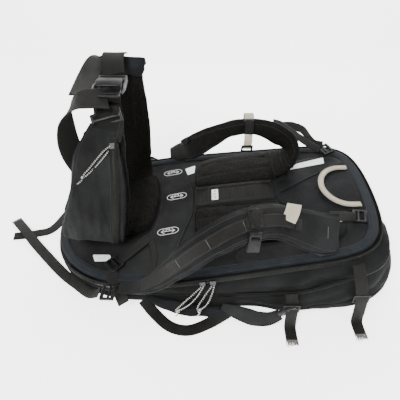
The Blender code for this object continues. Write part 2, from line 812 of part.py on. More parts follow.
def sternum_parts():
    """Each strap carries half of the chest strap: a slider with its buckle, and a webbing tab."""
    along = Vector((-0.86, -0.42, 0.27))
    out = Vector((0.0, -0.52, 0.85))
    place = Vector((0.037, -0.1930, 0.2745))
    near_slider = blocks(
        "near_sternum_slider",
        [-0.013, -0.009, 0.009, 0.013],
        [-0.017, -0.013, 0.013, 0.017],
        [(-0.0015, 0.0025, ["###", "# #", "###"])],
        plastic(),
        place,
        facing(along, out),
    )
    near_buckle = blocks(
        "near_sternum_buckle",
        [-0.020, -0.012, -0.006, 0.010, 0.020],
        [-0.012, -0.008, 0.008, 0.012],
        [(-0.003, 0.003, ["####", "# ##", "####"])],
        plastic(),
        (0.030, -0.2350, 0.2330),
        facing((-0.1, -0.35, -0.93), (0.2, -0.9, 0.35)),
    )
    near_tab = sweep(
        "near_webbing_tab",
        [(0.124, -0.1150, 0.2640), (0.118, -0.1300, 0.2600), (0.109, -0.1450, 0.2540)],
        [(0.9, 0.1, 0.2)] * 2,
        [0.028] * 2,
        [WEB_THICKNESS] * 2,
        tan_webbing(),
        spans=2,
    )
    far_tab = sweep(
        "far_webbing_tab",
        [(0.054, 0.1360, 0.2700), (0.054, 0.1340, 0.2900), (0.054, 0.1160, 0.2960), (0.055, 0.1010, 0.2840)],
        [(1, 0, 0)] * 2,
        [0.022] * 2,
        [WEB_THICKNESS] * 2,
        tan_webbing(),
    )
    far_slider = blocks(
        "far_sternum_slider",
        [-0.011, -0.007, 0.007, 0.011],
        [-0.014, -0.010, 0.010, 0.014],
        [(-0.002, 0.002, ["###", "# #", "###"])],
        plastic(),
        (0.055, 0.0960, 0.2320),
        facing((0, 0.25, -0.97), (0, -1, -0.2)),
    )
    far_strap = sweep(
        "far_sternum_strap",
        [(0.055, 0.1010, 0.2750), (0.055, 0.0980, 0.2610), (0.055, 0.0965, 0.2480)],
        [(1, 0, 0)] * 2,
        [0.020] * 2,
        [WEB_THICKNESS] * 2,
        tan_webbing(),
    )
    return near_slider, near_buckle, near_tab, far_tab, far_slider, far_strap


def zip_slider(name, place, turn):
    return blocks(
        name,
        [-0.006, -0.002, 0.002, 0.006],
        [-0.005, 0.005],
        [(-0.0015, 0.0015, ["###"]), (0.0015, 0.0035, [" # "])],
        plastic(),
        place,
        turn,
    )


def zip_pulls():
    """Two sliders on the near zip and one on the pocket, each with a cord loop ending in a knot."""
    made = []
    for name, x, lean in (("a", -0.056, -0.040), ("b", -0.034, -0.022)):
        z = panel_z(x) - 0.007
        slider = zip_slider(f"main_zip_slider_{name}", (x, -0.2150, z), facing((1, 0, PANEL_RISE), (0, -1, 0)))
        loop = cord(
            f"pull_cord_{name}",
            [
                (x - 0.002, -0.2210, z - 0.002),
                (x - 0.008 + 0.4 * lean, -0.2360, z - 0.014),
                (x - 0.009 + 0.9 * lean, -0.2460, z - 0.032),
                (x - 0.004 + 1.3 * lean, -0.2500, z - 0.046),
                (x + 0.003 + 1.3 * lean, -0.2500, z - 0.046),
                (x + 0.007 + 0.9 * lean, -0.2460, z - 0.032),
                (x + 0.005 + 0.4 * lean, -0.2370, z - 0.014),
                (x + 0.003, -0.2210, z + 0.001),
            ],
            flecked_cord(),
        )
        made.append((slider, loop))
    down = on_pocket(0.78, 0.33, 0.006) - on_pocket(0.88, 0.33, 0.006)
    out = on_pocket(0.84, 0.33, 0.020) - on_pocket(0.84, 0.33, 0.010)
    slider = zip_slider("pocket_zip_slider", on_pocket(0.84, 0.33, 0.0075), facing(-down, out))
    route = [(0.835, 0.30, 0.0125), (0.80, 0.16, 0.0120), (0.74, 0.0, 0.0080), (0.68, -0.14, 0.0060), (0.65, -0.22, 0.0060)]
    back = [(0.64, -0.19, 0.0060), (0.68, -0.06, 0.0065), (0.74, 0.10, 0.0085), (0.80, 0.25, 0.0115)]
    loop = cord("pocket_pull_cord", [on_pocket(*place) for place in route + back], flecked_cord())
    made.append((slider, loop))
    return made


def build():
    clear_scene()
    bag()
    frame()
    panel()
    main_zip()
    back_pads()
    patches()
    near_wing = near_hip_wing()
    far_wing = far_hip_wing()
    male = hip_buckle_male()
    near_pad, near_strip = near_shoulder_strap()
    far_pad = far_shoulder_strap()
    loop = haul_loop()
    far_lock, near_lock = load_lifters()
    lower_near, lower_far, stabiliser_lock = lower_straps()
    side_straps()
    near_slider, near_buckle, near_tab, far_tab, far_slider, far_strap = sternum_parts()
    pulls = zip_pulls()

    slide = pivot("hip_buckle_slide", (-0.252, 0.090, 0.375), [male])
    pivot("near_hip_wing_axis", (-0.29, NEAR_WING_HINGE_Y, panel_z(-0.29) + 0.012), [*near_wing, slide])
    pivot("far_hip_wing_axis", (-0.285, FAR_WING_Y, panel_z(-0.285) + 0.016), far_wing)
    pivot("near_strap_axis", NEAR_STRAP_TOP, [near_pad, near_strip, near_slider, near_buckle, near_tab])
    pivot("far_strap_axis", FAR_STRAP_TOP, [far_pad, far_tab, far_slider, far_strap])
    pivot("haul_loop_axis", (HAUL_HINGE_X, 0, panel_z(HAUL_HINGE_X) + 0.0035), [loop])
    pivot("lifter_lock_far_axis", (0.270, 0.155, 0.1605), [far_lock])
    pivot("lifter_lock_near_axis", (0.290, -0.086, 0.1620), [near_lock])
    pivot("lower_lock_near_axis", (-0.254, -0.224, 0.078), [lower_near])
    pivot("lower_lock_far_axis", (-0.200, 0.236, 0.060), [lower_far])
    pivot("stabiliser_lock_axis", (-0.252, -0.155, 0.0805), [stabiliser_lock])
    for slider, line in pulls:
        pivot(f"{slider.name}_path", slider.data.vertices[0].co, [slider, line])


build()
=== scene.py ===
import math

import bmesh
import bpy
import numpy as np
from mathutils import Matrix, Vector, noise


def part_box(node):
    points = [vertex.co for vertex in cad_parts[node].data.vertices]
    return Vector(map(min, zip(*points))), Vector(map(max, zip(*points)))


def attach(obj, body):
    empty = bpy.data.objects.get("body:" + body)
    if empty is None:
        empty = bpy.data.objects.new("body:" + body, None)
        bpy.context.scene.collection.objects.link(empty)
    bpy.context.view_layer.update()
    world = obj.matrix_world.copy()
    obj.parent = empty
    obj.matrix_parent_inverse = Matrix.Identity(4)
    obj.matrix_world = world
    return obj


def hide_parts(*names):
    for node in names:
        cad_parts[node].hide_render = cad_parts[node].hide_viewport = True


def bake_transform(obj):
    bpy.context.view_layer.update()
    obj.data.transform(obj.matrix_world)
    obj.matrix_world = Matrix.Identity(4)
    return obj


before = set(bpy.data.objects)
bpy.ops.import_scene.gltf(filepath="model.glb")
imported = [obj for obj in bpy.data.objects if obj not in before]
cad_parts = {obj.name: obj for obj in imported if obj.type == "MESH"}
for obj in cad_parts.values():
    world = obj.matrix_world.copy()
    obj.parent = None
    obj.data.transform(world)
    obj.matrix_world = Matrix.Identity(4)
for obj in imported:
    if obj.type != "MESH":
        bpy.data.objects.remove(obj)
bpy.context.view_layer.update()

# Driving dimensions, in metres, as the CAD has them.

PANEL_MIDDLE = 0.11
PANEL_RISE = 0.15
SPLIT_MIDDLE = 0.052
SPLIT_RISE = 0.085
WEB = 0.025
WEB_THICKNESS = 0.002
BELT = 0.05
CORD = 0.0026
TOOTH_PITCH = 0.0042

HALF_OUTLINE = [
    (-0.412, 0.0),
    (-0.4, 0.07),
    (-0.366, 0.125),
    (-0.315, 0.168),
    (-0.245, 0.196),
    (-0.15, 0.206),
    (-0.02, 0.202),
    (0.13, 0.192),
    (0.24, 0.182),
    (0.3, 0.156),
    (0.328, 0.1),
    (0.336, 0.0),
]


def panel_z(x):
    return PANEL_MIDDLE + PANEL_RISE * x


def split_z(x):
    return SPLIT_MIDDLE + SPLIT_RISE * x


# Materials.


class Graph:
    """A material's nodes, with short calls to add them."""

    def __init__(self, name, roughness=0.8, **sockets):
        self.material = bpy.data.materials.new(name)
        self.material.use_nodes = True
        self.tree = self.material.node_tree
        self.shader = self.tree.nodes["Principled BSDF"]
        self.shader.inputs["Roughness"].default_value = roughness
        for socket, value in sockets.items():
            self.shader.inputs[socket.replace("_", " ")].default_value = value

    def node(self, kind, inputs=(), **settings):
        made = self.tree.nodes.new("ShaderNode" + kind)
        for key, value in settings.items():
            setattr(made, key, value)
        for key, value in dict(inputs).items():
            if isinstance(value, bpy.types.NodeSocket):
                self.tree.links.new(value, made.inputs[key])
            else:
                made.inputs[key].default_value = value
        return made

    def math(self, operation, a, b=0.0, c=0.0):
        return self.node("Math", {0: a, 1: b, 2: c}, operation=operation).outputs[0]

    def place(self, kind):
        return self.node("TexCoord").outputs[kind]

    def parts(self, vector):
        return self.node("SeparateXYZ", {0: vector}).outputs

    def noise(self, place, scale, detail=3.0, roughness=0.55):
        sockets = {"Vector": place, "Scale": scale, "Detail": detail, "Roughness": roughness}
        return self.node("TexNoise", sockets).outputs["Fac"]

    def span(self, value, low, high, to_low=0.0, to_high=1.0):
        return self.node("MapRange", {0: value, 1: low, 2: high, 3: to_low, 4: to_high}).outputs[0]

    def blend(self, share, a, b):
        colour_a = a if isinstance(a, bpy.types.NodeSocket) else (*a, 1.0)
        colour_b = b if isinstance(b, bpy.types.NodeSocket) else (*b, 1.0)
        made = self.node("Mix", {0: share, 6: colour_a, 7: colour_b}, data_type="RGBA")
        return made.outputs[2]

    def wave(self, value, period, phase=0.0):
        """A sine of the value, from -1 to 1."""
        return self.math("SINE", self.math("MULTIPLY_ADD", value, 2 * math.pi / period, phase))

    def bump(self, height, distance, strength=1.0, normal=None):
        inputs = {"Height": height, "Distance": distance, "Strength": strength}
        if normal:
            inputs["Normal"] = normal
        return self.node("Bump", inputs).outputs[0]

    def finish(self, colour, normal=None, roughness=None):
        self.tree.links.new(colour, self.shader.inputs["Base Color"])
        if normal:
            self.tree.links.new(normal, self.shader.inputs["Normal"])
        if roughness:
            self.tree.links.new(roughness, self.shader.inputs["Roughness"])
        return self.material


def lattice(graph, place, period):
    """A woven pattern that looks the same from every side, from -1 to 1."""
    x, y, z = (graph.wave(part, period) for part in graph.parts(place))
    xy, yz, zx = graph.math("MULTIPLY", x, y), graph.math("MULTIPLY", y, z), graph.math("MULTIPLY", z, x)
    return graph.math("MULTIPLY", graph.math("ADD", graph.math("ADD", xy, yz), zx), 0.6)


def pack_cloth(name, dark, light, dust, period=0.0016, weave=0.00016, roughness=0.82):
    """Plain-woven pack cloth: a fine grain, faded and dusty in patches, with soft creases."""
    g = Graph(name, Sheen_Weight=0.015, Sheen_Roughness=0.5, Specular_IOR_Level=0.07)
    place = g.place("Object")
    worn = g.span(g.noise(place, 9.0, 5.0), 0.35, 0.7)
    grain = lattice(g, place, period)
    colour = g.blend(worn, dark, light)
    specks = g.span(g.noise(place, 420.0, 2.0), 0.7, 0.78)
    colour = g.blend(g.math("MULTIPLY", specks, 0.35), colour, dust)
    threads = g.span(grain, -1.0, 1.0, 0.0, 0.3)
    colour = g.blend(threads, colour, light)
    creases = g.noise(place, 38.0, 4.0, 0.6)
    normal = g.bump(creases, 0.0034, 0.75)
    normal = g.bump(grain, weave, 0.9, normal)
    rough = g.span(g.noise(place, 22.0, 3.0), 0.3, 0.7, roughness - 0.1, roughness + 0.08)
    return g.finish(colour, normal, rough)


def spacer_mesh(name, dark, thread, olive):
    """Open knitted mesh over foam: dark holes between lighter threads, with olive-tinged specks."""
    g = Graph(name, Sheen_Weight=0.01, Sheen_Roughness=0.5, Specular_IOR_Level=0.05)
    place = g.place("Object")
    across, along, _ = g.parts(g.place("UV"))
    zigzag = g.math("PINGPONG", across, 0.0055)
    courses = g.wave(g.math("ADD", along, zigzag), 0.0044)
    fine = lattice(g, place, 0.0017)
    knit = g.math("MULTIPLY_ADD", lattice(g, place, 0.0036), 0.55, courses)
    holes = g.span(knit, -0.4, 0.75)
    colour = g.blend(holes, dark, thread)
    lit = g.span(g.noise(place, 260.0, 2.0), 0.55, 0.66)
    colour = g.blend(g.math("MULTIPLY", g.math("MULTIPLY", lit, holes), 0.55), colour, olive)
    height = g.math("MULTIPLY_ADD", fine, 0.25, knit)
    normal = g.bump(g.noise(place, 30.0, 3.0), 0.002, 0.4)
    normal = g.bump(height, 0.0007, 0.9, normal)
    return g.finish(colour, normal)


def ribbed(name, dark, light, pitch=0.0022, edge=WEB, roughness=0.62, wear=0.5):
    """Webbing: ribs across, fine ridges along, paler where it is rubbed. Its UV map is in metres."""
    g = Graph(name, Sheen_Weight=0.015, Sheen_Roughness=0.45, Specular_IOR_Level=0.12)
    across, along, _ = g.parts(g.place("UV"))
    ribs = g.wave(along, pitch)
    ridges = g.wave(across, 0.003)
    twill = g.wave(g.math("ADD", along, across), 0.0016)
    height = g.math("ADD", g.math("MULTIPLY_ADD", ridges, 0.5, ribs), g.math("MULTIPLY", twill, 0.25))
    place = g.place("Object")
    rubbed = g.span(g.noise(place, 55.0, 4.0), 0.4, 0.72)
    share = g.math("MULTIPLY", g.span(height, -1.2, 1.4), g.math("MULTIPLY_ADD", rubbed, wear, 0.35))
    colour = g.blend(share, dark, light)
    normal = g.bump(height, 0.00035, 0.9)
    rough = g.span(rubbed, 0.0, 1.0, roughness - 0.06, roughness + 0.12)
    return g.finish(colour, normal, rough)


def moulded(name, dark, light, roughness=0.36):
    """Moulded plastic with a fine texture, faint scuffs and rubbed high spots."""
    g = Graph(name, Specular_IOR_Level=0.18)
    place = g.place("Object")
    scuffs = g.span(g.noise(place, 140.0, 5.0, 0.7), 0.5, 0.74)
    colour = g.blend(g.math("MULTIPLY", scuffs, 0.6), dark, light)
    normal = g.bump(g.noise(place, 900.0, 2.0), 0.00006, 0.6)
    rough = g.span(scuffs, 0.0, 1.0, roughness, roughness + 0.22)
    return g.finish(colour, normal, rough)


def flecked(name):
    """Braided cord, black with white flecks that wind both ways. Its UV map is in metres along."""
    g = Graph(name, roughness=0.75, Sheen_Weight=0.1)
    around, along, _ = g.parts(g.place("UV"))
    turn = g.math("MULTIPLY", around, 1.0 / (math.pi * CORD))
    one = g.wave(g.math("MULTIPLY_ADD", along, 1.0 / 0.009, turn), 1.0)
    other = g.wave(g.math("SUBTRACT", g.math("MULTIPLY", along, 1.0 / 0.009), turn), 1.0, 1.1)
    fleck = g.span(g.math("MULTIPLY", one, other), 0.02, 0.14)
    colour = g.blend(fleck, (0.012, 0.012, 0.011), (0.72, 0.71, 0.66))
    braid = g.math("ADD", one, other)
    return g.finish(colour, g.bump(braid, 0.00025, 0.8))


def plain(name, dark, light, scale, distance, roughness, metallic=0.0):
    g = Graph(name, Metallic=metallic)
    place = g.place("Object")
    cloudy = g.noise(place, scale, 4.0)
    colour = g.blend(g.span(cloudy, 0.3, 0.7), dark, light)
    rough = g.span(cloudy, 0.3, 0.7, roughness - 0.05, roughness + 0.08)
    return g.finish(colour, g.bump(cloudy, distance, 0.6), rough)


SHELL = pack_cloth("shell_cloth", (0.0042, 0.0043, 0.0045), (0.0135, 0.0138, 0.0142), (0.09, 0.09, 0.09))
SLATE = pack_cloth("slate_cloth", (0.0056, 0.0057, 0.0059), (0.0175, 0.0178, 0.0183), (0.12, 0.12, 0.12))
SMOOTH = pack_cloth(
    "smooth_cloth", (0.0036, 0.0038, 0.0042), (0.0085, 0.009, 0.0098), (0.07, 0.07, 0.07), 0.0012, 0.00008,
    0.58,
)
# Near-black colour of the painted shadow under the near strap's arch.
PAINTED_SHADOW_BLACK = plain("painted_shadow_black", (0.001, 0.001, 0.001), (0.0022, 0.0022, 0.0022), 90.0, 0.0004, 0.95)
MESH = spacer_mesh("spacer_mesh", (0.0018, 0.0018, 0.0017), (0.0125, 0.0122, 0.011), (0.045, 0.041, 0.03))
BLACK_WEB = ribbed("black_webbing", (0.004, 0.004, 0.0036), (0.026, 0.025, 0.022))
TAN_WEB = ribbed("tan_webbing", (0.36, 0.32, 0.24), (0.66, 0.62, 0.51), 0.0018, WEB, 0.75, 0.65)
BINDING = ribbed("faded_binding", (0.007, 0.0085, 0.0105), (0.026, 0.032, 0.039), 0.0016, 0.018, 0.78, 0.8)
COLUMN = ribbed("column_webbing", (0.004, 0.0039, 0.0035), (0.028, 0.027, 0.023), 0.0046, 0.06, 0.75, 0.5)
ZIP_TAPE = ribbed("zip_tape", (0.007, 0.0075, 0.0065), (0.024, 0.024, 0.02), 0.0012, 0.012, 0.75, 0.4)
PLASTIC = moulded("black_acetal", (0.0045, 0.0046, 0.005), (0.034, 0.034, 0.035), 0.44)
# Paler plastic, for the zip sliders and the hip buckle's side wings.
PALE_PLASTIC = moulded("pale_acetal", (0.06, 0.062, 0.064), (0.2, 0.2, 0.205), 0.46)
TEETH = moulded("zip_coil", (0.006, 0.0058, 0.0045), (0.04, 0.037, 0.027), 0.5)
REFLECT = plain("reflective_film", (0.6, 0.61, 0.62), (0.82, 0.83, 0.84), 120.0, 0.0002, 0.45)
PRINT = plain("white_print", (0.42, 0.42, 0.42), (0.74, 0.74, 0.74), 900.0, 0.0001, 0.7)
THREAD = plain("grey_thread", (0.055, 0.055, 0.052), (0.12, 0.12, 0.11), 500.0, 0.0002, 0.8)
DARK_THREAD = plain("dark_thread", (0.01, 0.0105, 0.011), (0.026, 0.027, 0.028), 500.0, 0.0002, 0.8)
FRAYED = plain("frayed_ends", (0.06, 0.056, 0.05), (0.22, 0.205, 0.185), 700.0, 0.0006, 0.9)
FLECKED = flecked("flecked_cord")
SHEETING = plain("frame_sheeting", (0.02, 0.02, 0.02), (0.045, 0.045, 0.045), 60.0, 0.0004, 0.5)
ALUMINIUM = plain("mill_aluminium", (0.62, 0.62, 0.63), (0.78, 0.78, 0.79), 90.0, 0.0001, 0.34, 1.0)


# Paths and skins.


def catmull(a, b, c, d, t):
    return 0.5 * (2 * b + (c - a) * t + (2 * a - 5 * b + 4 * c - d) * t**2 + (3 * b - a - 3 * c + d) * t**3)


def smooth_path(points, spans, closed=False):
    at = [Vector(p) for p in points]
    count = len(at)
    made = []
    for i in range(count if closed else count - 1):
        if closed:
            four = [at[(i + k) % count] for k in (-1, 0, 1, 2)]
        else:
            four = [at[max(0, min(count - 1, i + k))] for k in (-1, 0, 1, 2)]
        made += [catmull(*four, step / spans) for step in range(spans)]
    if not closed:
        made.append(at[-1])
    return made


def between(values, share):
    place = max(0.0, min(1.0, share)) * (len(values) - 1)
    low = min(int(place), len(values) - 2)
    return values[low] + (values[low + 1] - values[low]) * (place - low)


def length_of(path):
    return sum((b - a).length for a, b in zip(path, path[1:]))


def spaced(path, step, closed=False):
    """Points along a path at one spacing, each with the direction there."""
    ends = path + [path[0]] if closed else path
    reach = length_of(ends)
    count = max(1, round(reach / step))
    made = []
    at, walked, i = 0.0, 0.0, 0
    for k in range(count if closed else count + 1):
        at = reach * k / count
        while i < len(ends) - 2 and walked + (ends[i + 1] - ends[i]).length < at:
            walked += (ends[i + 1] - ends[i]).length
            i += 1
        piece = ends[i + 1] - ends[i]
        made.append((ends[i] + piece * ((at - walked) / max(piece.length, 1e-9)), piece.normalized()))
    return made


def skin(name, rings, surface, closed=True, caps=True, smooth=True, looped=False):
    """A mesh over rings of points, with a UV map in metres: U around each ring, V from ring to ring."""
    made = bmesh.new()
    uv = made.loops.layers.uv.new("UVMap")
    loops = [[made.verts.new(p) for p in ring] for ring in rings]
    count = len(rings[0])
    along = [0.0]
    for a, b in zip(rings, rings[1:] + rings[:1]):
        along.append(along[-1] + sum((Vector(p) - Vector(q)).length for p, q in zip(a, b)) / count)
    middle = rings[len(rings) // 2]
    around = [0.0]
    for i in range(count):
        around.append(around[-1] + (Vector(middle[(i + 1) % count]) - Vector(middle[i])).length)
    steps = len(rings) if looped else len(rings) - 1
    for k in range(steps):
        low, high = loops[k], loops[(k + 1) % len(rings)]
        for i in range(count if closed else count - 1):
            j = (i + 1) % count
            face = made.faces.new((low[i], low[j], high[j], high[i]))
            spots = (
                (around[i], along[k]), (around[i + 1], along[k]), (around[i + 1], along[k + 1]),
                (around[i], along[k + 1]),
            )
            for loop, spot in zip(face.loops, spots):
                loop[uv].uv = spot
    if caps and closed and not looped:
        made.faces.new(loops[0][::-1])
        made.faces.new(loops[-1])
    return mesh_piece(name, made, surface, smooth)


def mesh_piece(name, made, surface, smooth=True):
    bmesh.ops.recalc_face_normals(made, faces=made.faces)
    mesh = bpy.data.meshes.new(name)
    made.to_mesh(mesh)
    made.free()
    mesh.materials.append(surface)
    mesh.polygons.foreach_set("use_smooth", [smooth] * len(mesh.polygons))
    obj = bpy.data.objects.new(name, mesh)
    bpy.context.collection.objects.link(obj)
    return obj


def stations(points, sides, spans):
    """(place, across, along, up) at steps along a strap, where sides hint at the direction across it."""
    path = smooth_path(points, spans)
    hints = [Vector(s) for s in sides]
    made = []
    for i, place in enumerate(path):
        along = (path[min(i + 1, len(path) - 1)] - path[max(i - 1, 0)]).normalized()
        across = between(hints, i / (len(path) - 1))
        across = (across - along * across.dot(along)).normalized()
        made.append((place, across, along, across.cross(along).normalized()))
    return made


class Route:
    """A strap's or pad's line, with its width, its thickness and its distance off the line."""

    def __init__(self, points, sides, widths, thicks, raised=(0.0, 0.0), spans=8):
        self.frames = stations(points, sides, spans)
        self.widths, self.thicks, self.raised = widths, thicks, raised

    def length(self):
        return length_of([f[0] for f in self.frames])

    def at(self, share, u, above, side=1):
        """A point at a share along, u across from -0.5 to 0.5, and so far above the face on that side."""
        place, across, up = (between([f[k] for f in self.frames], share) for k in (0, 1, 3))
        off = between(self.raised, share) + side * (0.5 * between(self.thicks, share) + above)
        return place + across * (u * between(self.widths, share)) + up * off

    def up(self, share):
        return between([f[3] for f in self.frames], share).normalized()

    def rings(self, section, grow=0.0):
        made = []
        for i, (place, across, _, up) in enumerate(self.frames):
            share = i / (len(self.frames) - 1)
            width = between(self.widths, share) + grow
            thick = between(self.thicks, share) + grow
            middle = place + up * between(self.raised, share)
            made.append([middle + across * (u * width) + up * (v * thick) for u, v in section(share)])
        return made


def strap_section(_):
    return [(-0.5, -0.25), (-0.47, -0.5), (-0.2, -0.5), (0.2, -0.5), (0.47, -0.5), (0.5, -0.25),
            (0.5, 0.25), (0.47, 0.5), (0.2, 0.5), (-0.2, 0.5), (-0.47, 0.5), (-0.5, 0.25)]


def pad_section(count=24, power=3.2):
    """A crowned cushion section: a rounded rectangle whose faces swell towards the middle."""
    made = []
    for i in range(count):
        a = 2 * math.pi * i / count
        c, s = math.cos(a), math.sin(a)
        made.append(
            (0.5 * math.copysign(abs(c) ** (2 / power), c), 0.5 * math.copysign(abs(s) ** (2 / 2.3), s))
        )
    return lambda _: made


# Helpers that make one piece each.


def put(obj, body, slot, *nodes):
    """A finished piece: it rides on its body and stands for the CAD nodes named. Its slot is not used."""
    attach(obj, body)
    if nodes:
        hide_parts(*nodes)
    return obj


def tube(name, path, radius, surface, body, slot, sides=8):
    """A round line along a path. Its UV map is in metres: U around, V along."""
    rings = []
    up = Vector((0, 0, 1))
    for i, place in enumerate(path):
        along = (path[min(i + 1, len(path) - 1)] - path[max(i - 1, 0)]).normalized()
        across = along.cross(up)
        if across.length < 0.1:
            across = along.cross(Vector((0, 1, 0)))
        across.normalize()
        up = across.cross(along).normalized()
        turns = [2 * math.pi * k / sides for k in range(sides)]
        rings.append([place + across * (radius * math.cos(t)) + up * (radius * math.sin(t)) for t in turns])
    return put(skin(name, rings, surface), body, slot)


def bars(name, spots, size, surface, body, slot):
    """Many small bars in one mesh. A spot is (place, direction of the length, direction up)."""
    made = bmesh.new()
    for place, along, up in spots:
        side = along.cross(up).normalized()
        up = side.cross(along).normalized()
        length, width, height = size
        corners = []
        for a, grow in ((-0.5, 0.62), (-0.3, 1.0), (0.3, 1.0), (0.5, 0.62)):
            for t in (0.25, 0.75, 1.25, 1.75):
                off = side * (0.7 * grow * width * math.cos(t * math.pi)) + up * (
                    0.7 * grow * height * math.sin(t * math.pi)
                )
                corners.append(made.verts.new(place + along * (a * length) + off))
        for k in range(3):
            for i in range(4):
                j = (i + 1) % 4
                made.faces.new(
                    (corners[4 * k + i], corners[4 * k + j], corners[4 * k + 4 + j], corners[4 * k + 4 + i])
                )
        made.faces.new(corners[3::-1])
        made.faces.new(corners[12:])
    return put(mesh_piece(name, made, surface, False), body, slot)


def stitches(name, path, up, surface, body, slot, pitch=0.0045, closed=False):
    """A row of stitches along a path, on a face whose direction is given or worked out for each point."""
    spots = [(p, along, up(p) if callable(up) else up) for p, along in spaced(path, pitch, closed)]
    return bars(name, spots, (0.003, 0.0008, 0.0006), surface, body, slot)


def route_stitches(
    name, route, rows, above, surface, body, slot, start=0.02, end=0.98, side=1, pitch=0.0045,
):
    spots = []
    for u in rows:
        path = [route.at(start + (end - start) * k / 80, u, above, side) for k in range(81)]
        count = len(spaced(path, pitch))
        for k, (p, along) in enumerate(spaced(path, pitch)):
            spots.append((p, along, route.up(start + (end - start) * k / count) * side))
    return bars(name, spots, (0.003, 0.0008, 0.0006), surface, body, slot)


def soften(obj, levels=1):
    modifier = obj.modifiers.new("soften", "SUBSURF")
    modifier.levels = modifier.render_levels = levels
    return obj


def applied(obj):
    """The object with its modifiers made real."""
    graph = bpy.context.evaluated_depsgraph_get()
    mesh = bpy.data.meshes.new_from_object(obj.evaluated_get(graph))
    obj.modifiers.clear()
    old = obj.data
    obj.data = mesh
    bpy.data.meshes.remove(old)
    return obj


def crumple(obj, amount, scale, stretch=(1.0, 1.0, 1.0), seed=0.0, ridged=False, mask=None):
    """Moves the skin in and out along its normals by smooth noise."""
    mesh = obj.data
    normals = [v.normal.copy() for v in mesh.vertices]
    for v, normal in zip(mesh.vertices, normals):
        p = Vector((v.co.x * stretch[0], v.co.y * stretch[1], v.co.z * stretch[2])) * scale
        p += Vector((seed, 1.7 * seed, -seed))
        n = noise.noise(p) + 0.5 * noise.noise(p * 2.1 + Vector((3, 5, 7)))
        if ridged:
            n = 0.45 - 1.6 * abs(n)
        v.co += normal * (amount * n * (mask(v.co) if mask else 1.0))
    mesh.update()
    return obj


def groove(obj, path, depth, width):
    """Presses a sewn line into a pad."""
    mesh = obj.data
    line = np.array([tuple(p) for p, _ in spaced(path, width / 2)])
    co = np.empty(len(mesh.vertices) * 3)
    mesh.vertices.foreach_get("co", co)
    co = co.reshape(-1, 3)
    normals = np.array([tuple(v.normal) for v in mesh.vertices])
    near = np.full(len(co), 9.0)
    for p in line:
        near = np.minimum(near, np.linalg.norm(co - p, axis=1))
    co -= normals * (depth * np.exp(-((near / width) ** 2)))[:, None]
    mesh.vertices.foreach_set("co", co.ravel())
    mesh.update()
    return obj


def puffed(obj, hold, cap=0.006, voxel=0.005, pressure=4.0):
    """Swells a pad by a cloth simulation. Points that hold() picks stay; none moves past the cap."""
    modifier = obj.modifiers.new("remesh", "REMESH")
    modifier.mode = "VOXEL"
    modifier.voxel_size = voxel
    modifier.use_smooth_shade = True
    applied(obj)
    mesh = obj.data
    rest = [v.co.copy() for v in mesh.vertices]
    group = obj.vertex_groups.new(name="held")
    group.add([v.index for v in mesh.vertices if hold(v.co)], 1.0, "REPLACE")
    cloth = obj.modifiers.new("cloth", "CLOTH")
    settings = cloth.settings
    settings.use_pressure = True
    settings.uniform_pressure_force = pressure
    settings.vertex_group_mass = "held"
    settings.quality = 5
    settings.tension_stiffness = settings.compression_stiffness = 20.0
    settings.effector_weights.gravity = 0.0
    scene = bpy.context.scene
    for step in range(1, 21):
        scene.frame_set(step)
    graph = bpy.context.evaluated_depsgraph_get()
    moved = obj.evaluated_get(graph)
    ends = [v.co.copy() for v in moved.data.vertices]
    obj.modifiers.clear()
    for v, start, end in zip(mesh.vertices, rest, ends):
        step = end - start
        if step.length > cap:
            step *= cap / step.length
        v.co = start + step
    scene.frame_set(1)
    mesh.update()
    soften(obj, 1)
    return applied(obj)


# How far five moulded pieces are drawn from their solids.
DRAWN_OFF = {
    "hip_tri_glide": (-0.001, -0.0125, -0.0115),
    "near_sternum_buckle": (0.006, 0.01, 0.012),
    "far_sternum_slider": (-0.002, 0.0, -0.024),
    "tri_glide_low": (-0.015, -0.004, -0.01),
    "tri_glide_top": (-0.023, -0.007, 0.0),
}


def hardware(node, body, surface, bevel=0.0009, slot="plastic", name=None):
    """The CAD's moulded piece with its edges rounded."""
    made = bmesh.new()
    made.from_mesh(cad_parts[node].data)
    bmesh.ops.remove_doubles(made, verts=made.verts, dist=0.00001)
    bmesh.ops.dissolve_limit(made, angle_limit=0.02, verts=made.verts, edges=made.edges)
    obj = mesh_piece(name or node + "_moulded", made, surface)
    modifier = obj.modifiers.new("round", "BEVEL")
    modifier.width = bevel
    modifier.segments = 3
    modifier.limit_method = "ANGLE"
    modifier.angle_limit = math.radians(35)
    modifier.harden_normals = False
    applied(obj)
    obj.data.polygons.foreach_set("use_smooth", [True] * len(obj.data.polygons))
    obj.data.set_sharp_from_angle(angle=math.radians(40))
    put(obj, body, slot, node)
    if node in DRAWN_OFF:
        obj.data.transform(Matrix.Translation(DRAWN_OFF[node]))
    return obj


def strap(
    name, points, sides, width, thick, surface, body, slot, nodes=(), wave=0.0,
    spans=8,
):
    """A webbing strap as one flat tape with soft edges, a little uneven along its length."""
    route = Route(points, sides, [width] * 2, [thick] * 2, spans=spans)
    for place, _, _, up in route.frames:
        place += up * (wave * noise.noise(place * 23.0))
    obj = skin(name, route.rings(strap_section), surface)
    put(obj, body, slot, *nodes)
    round(route.length(), 3)
    return route


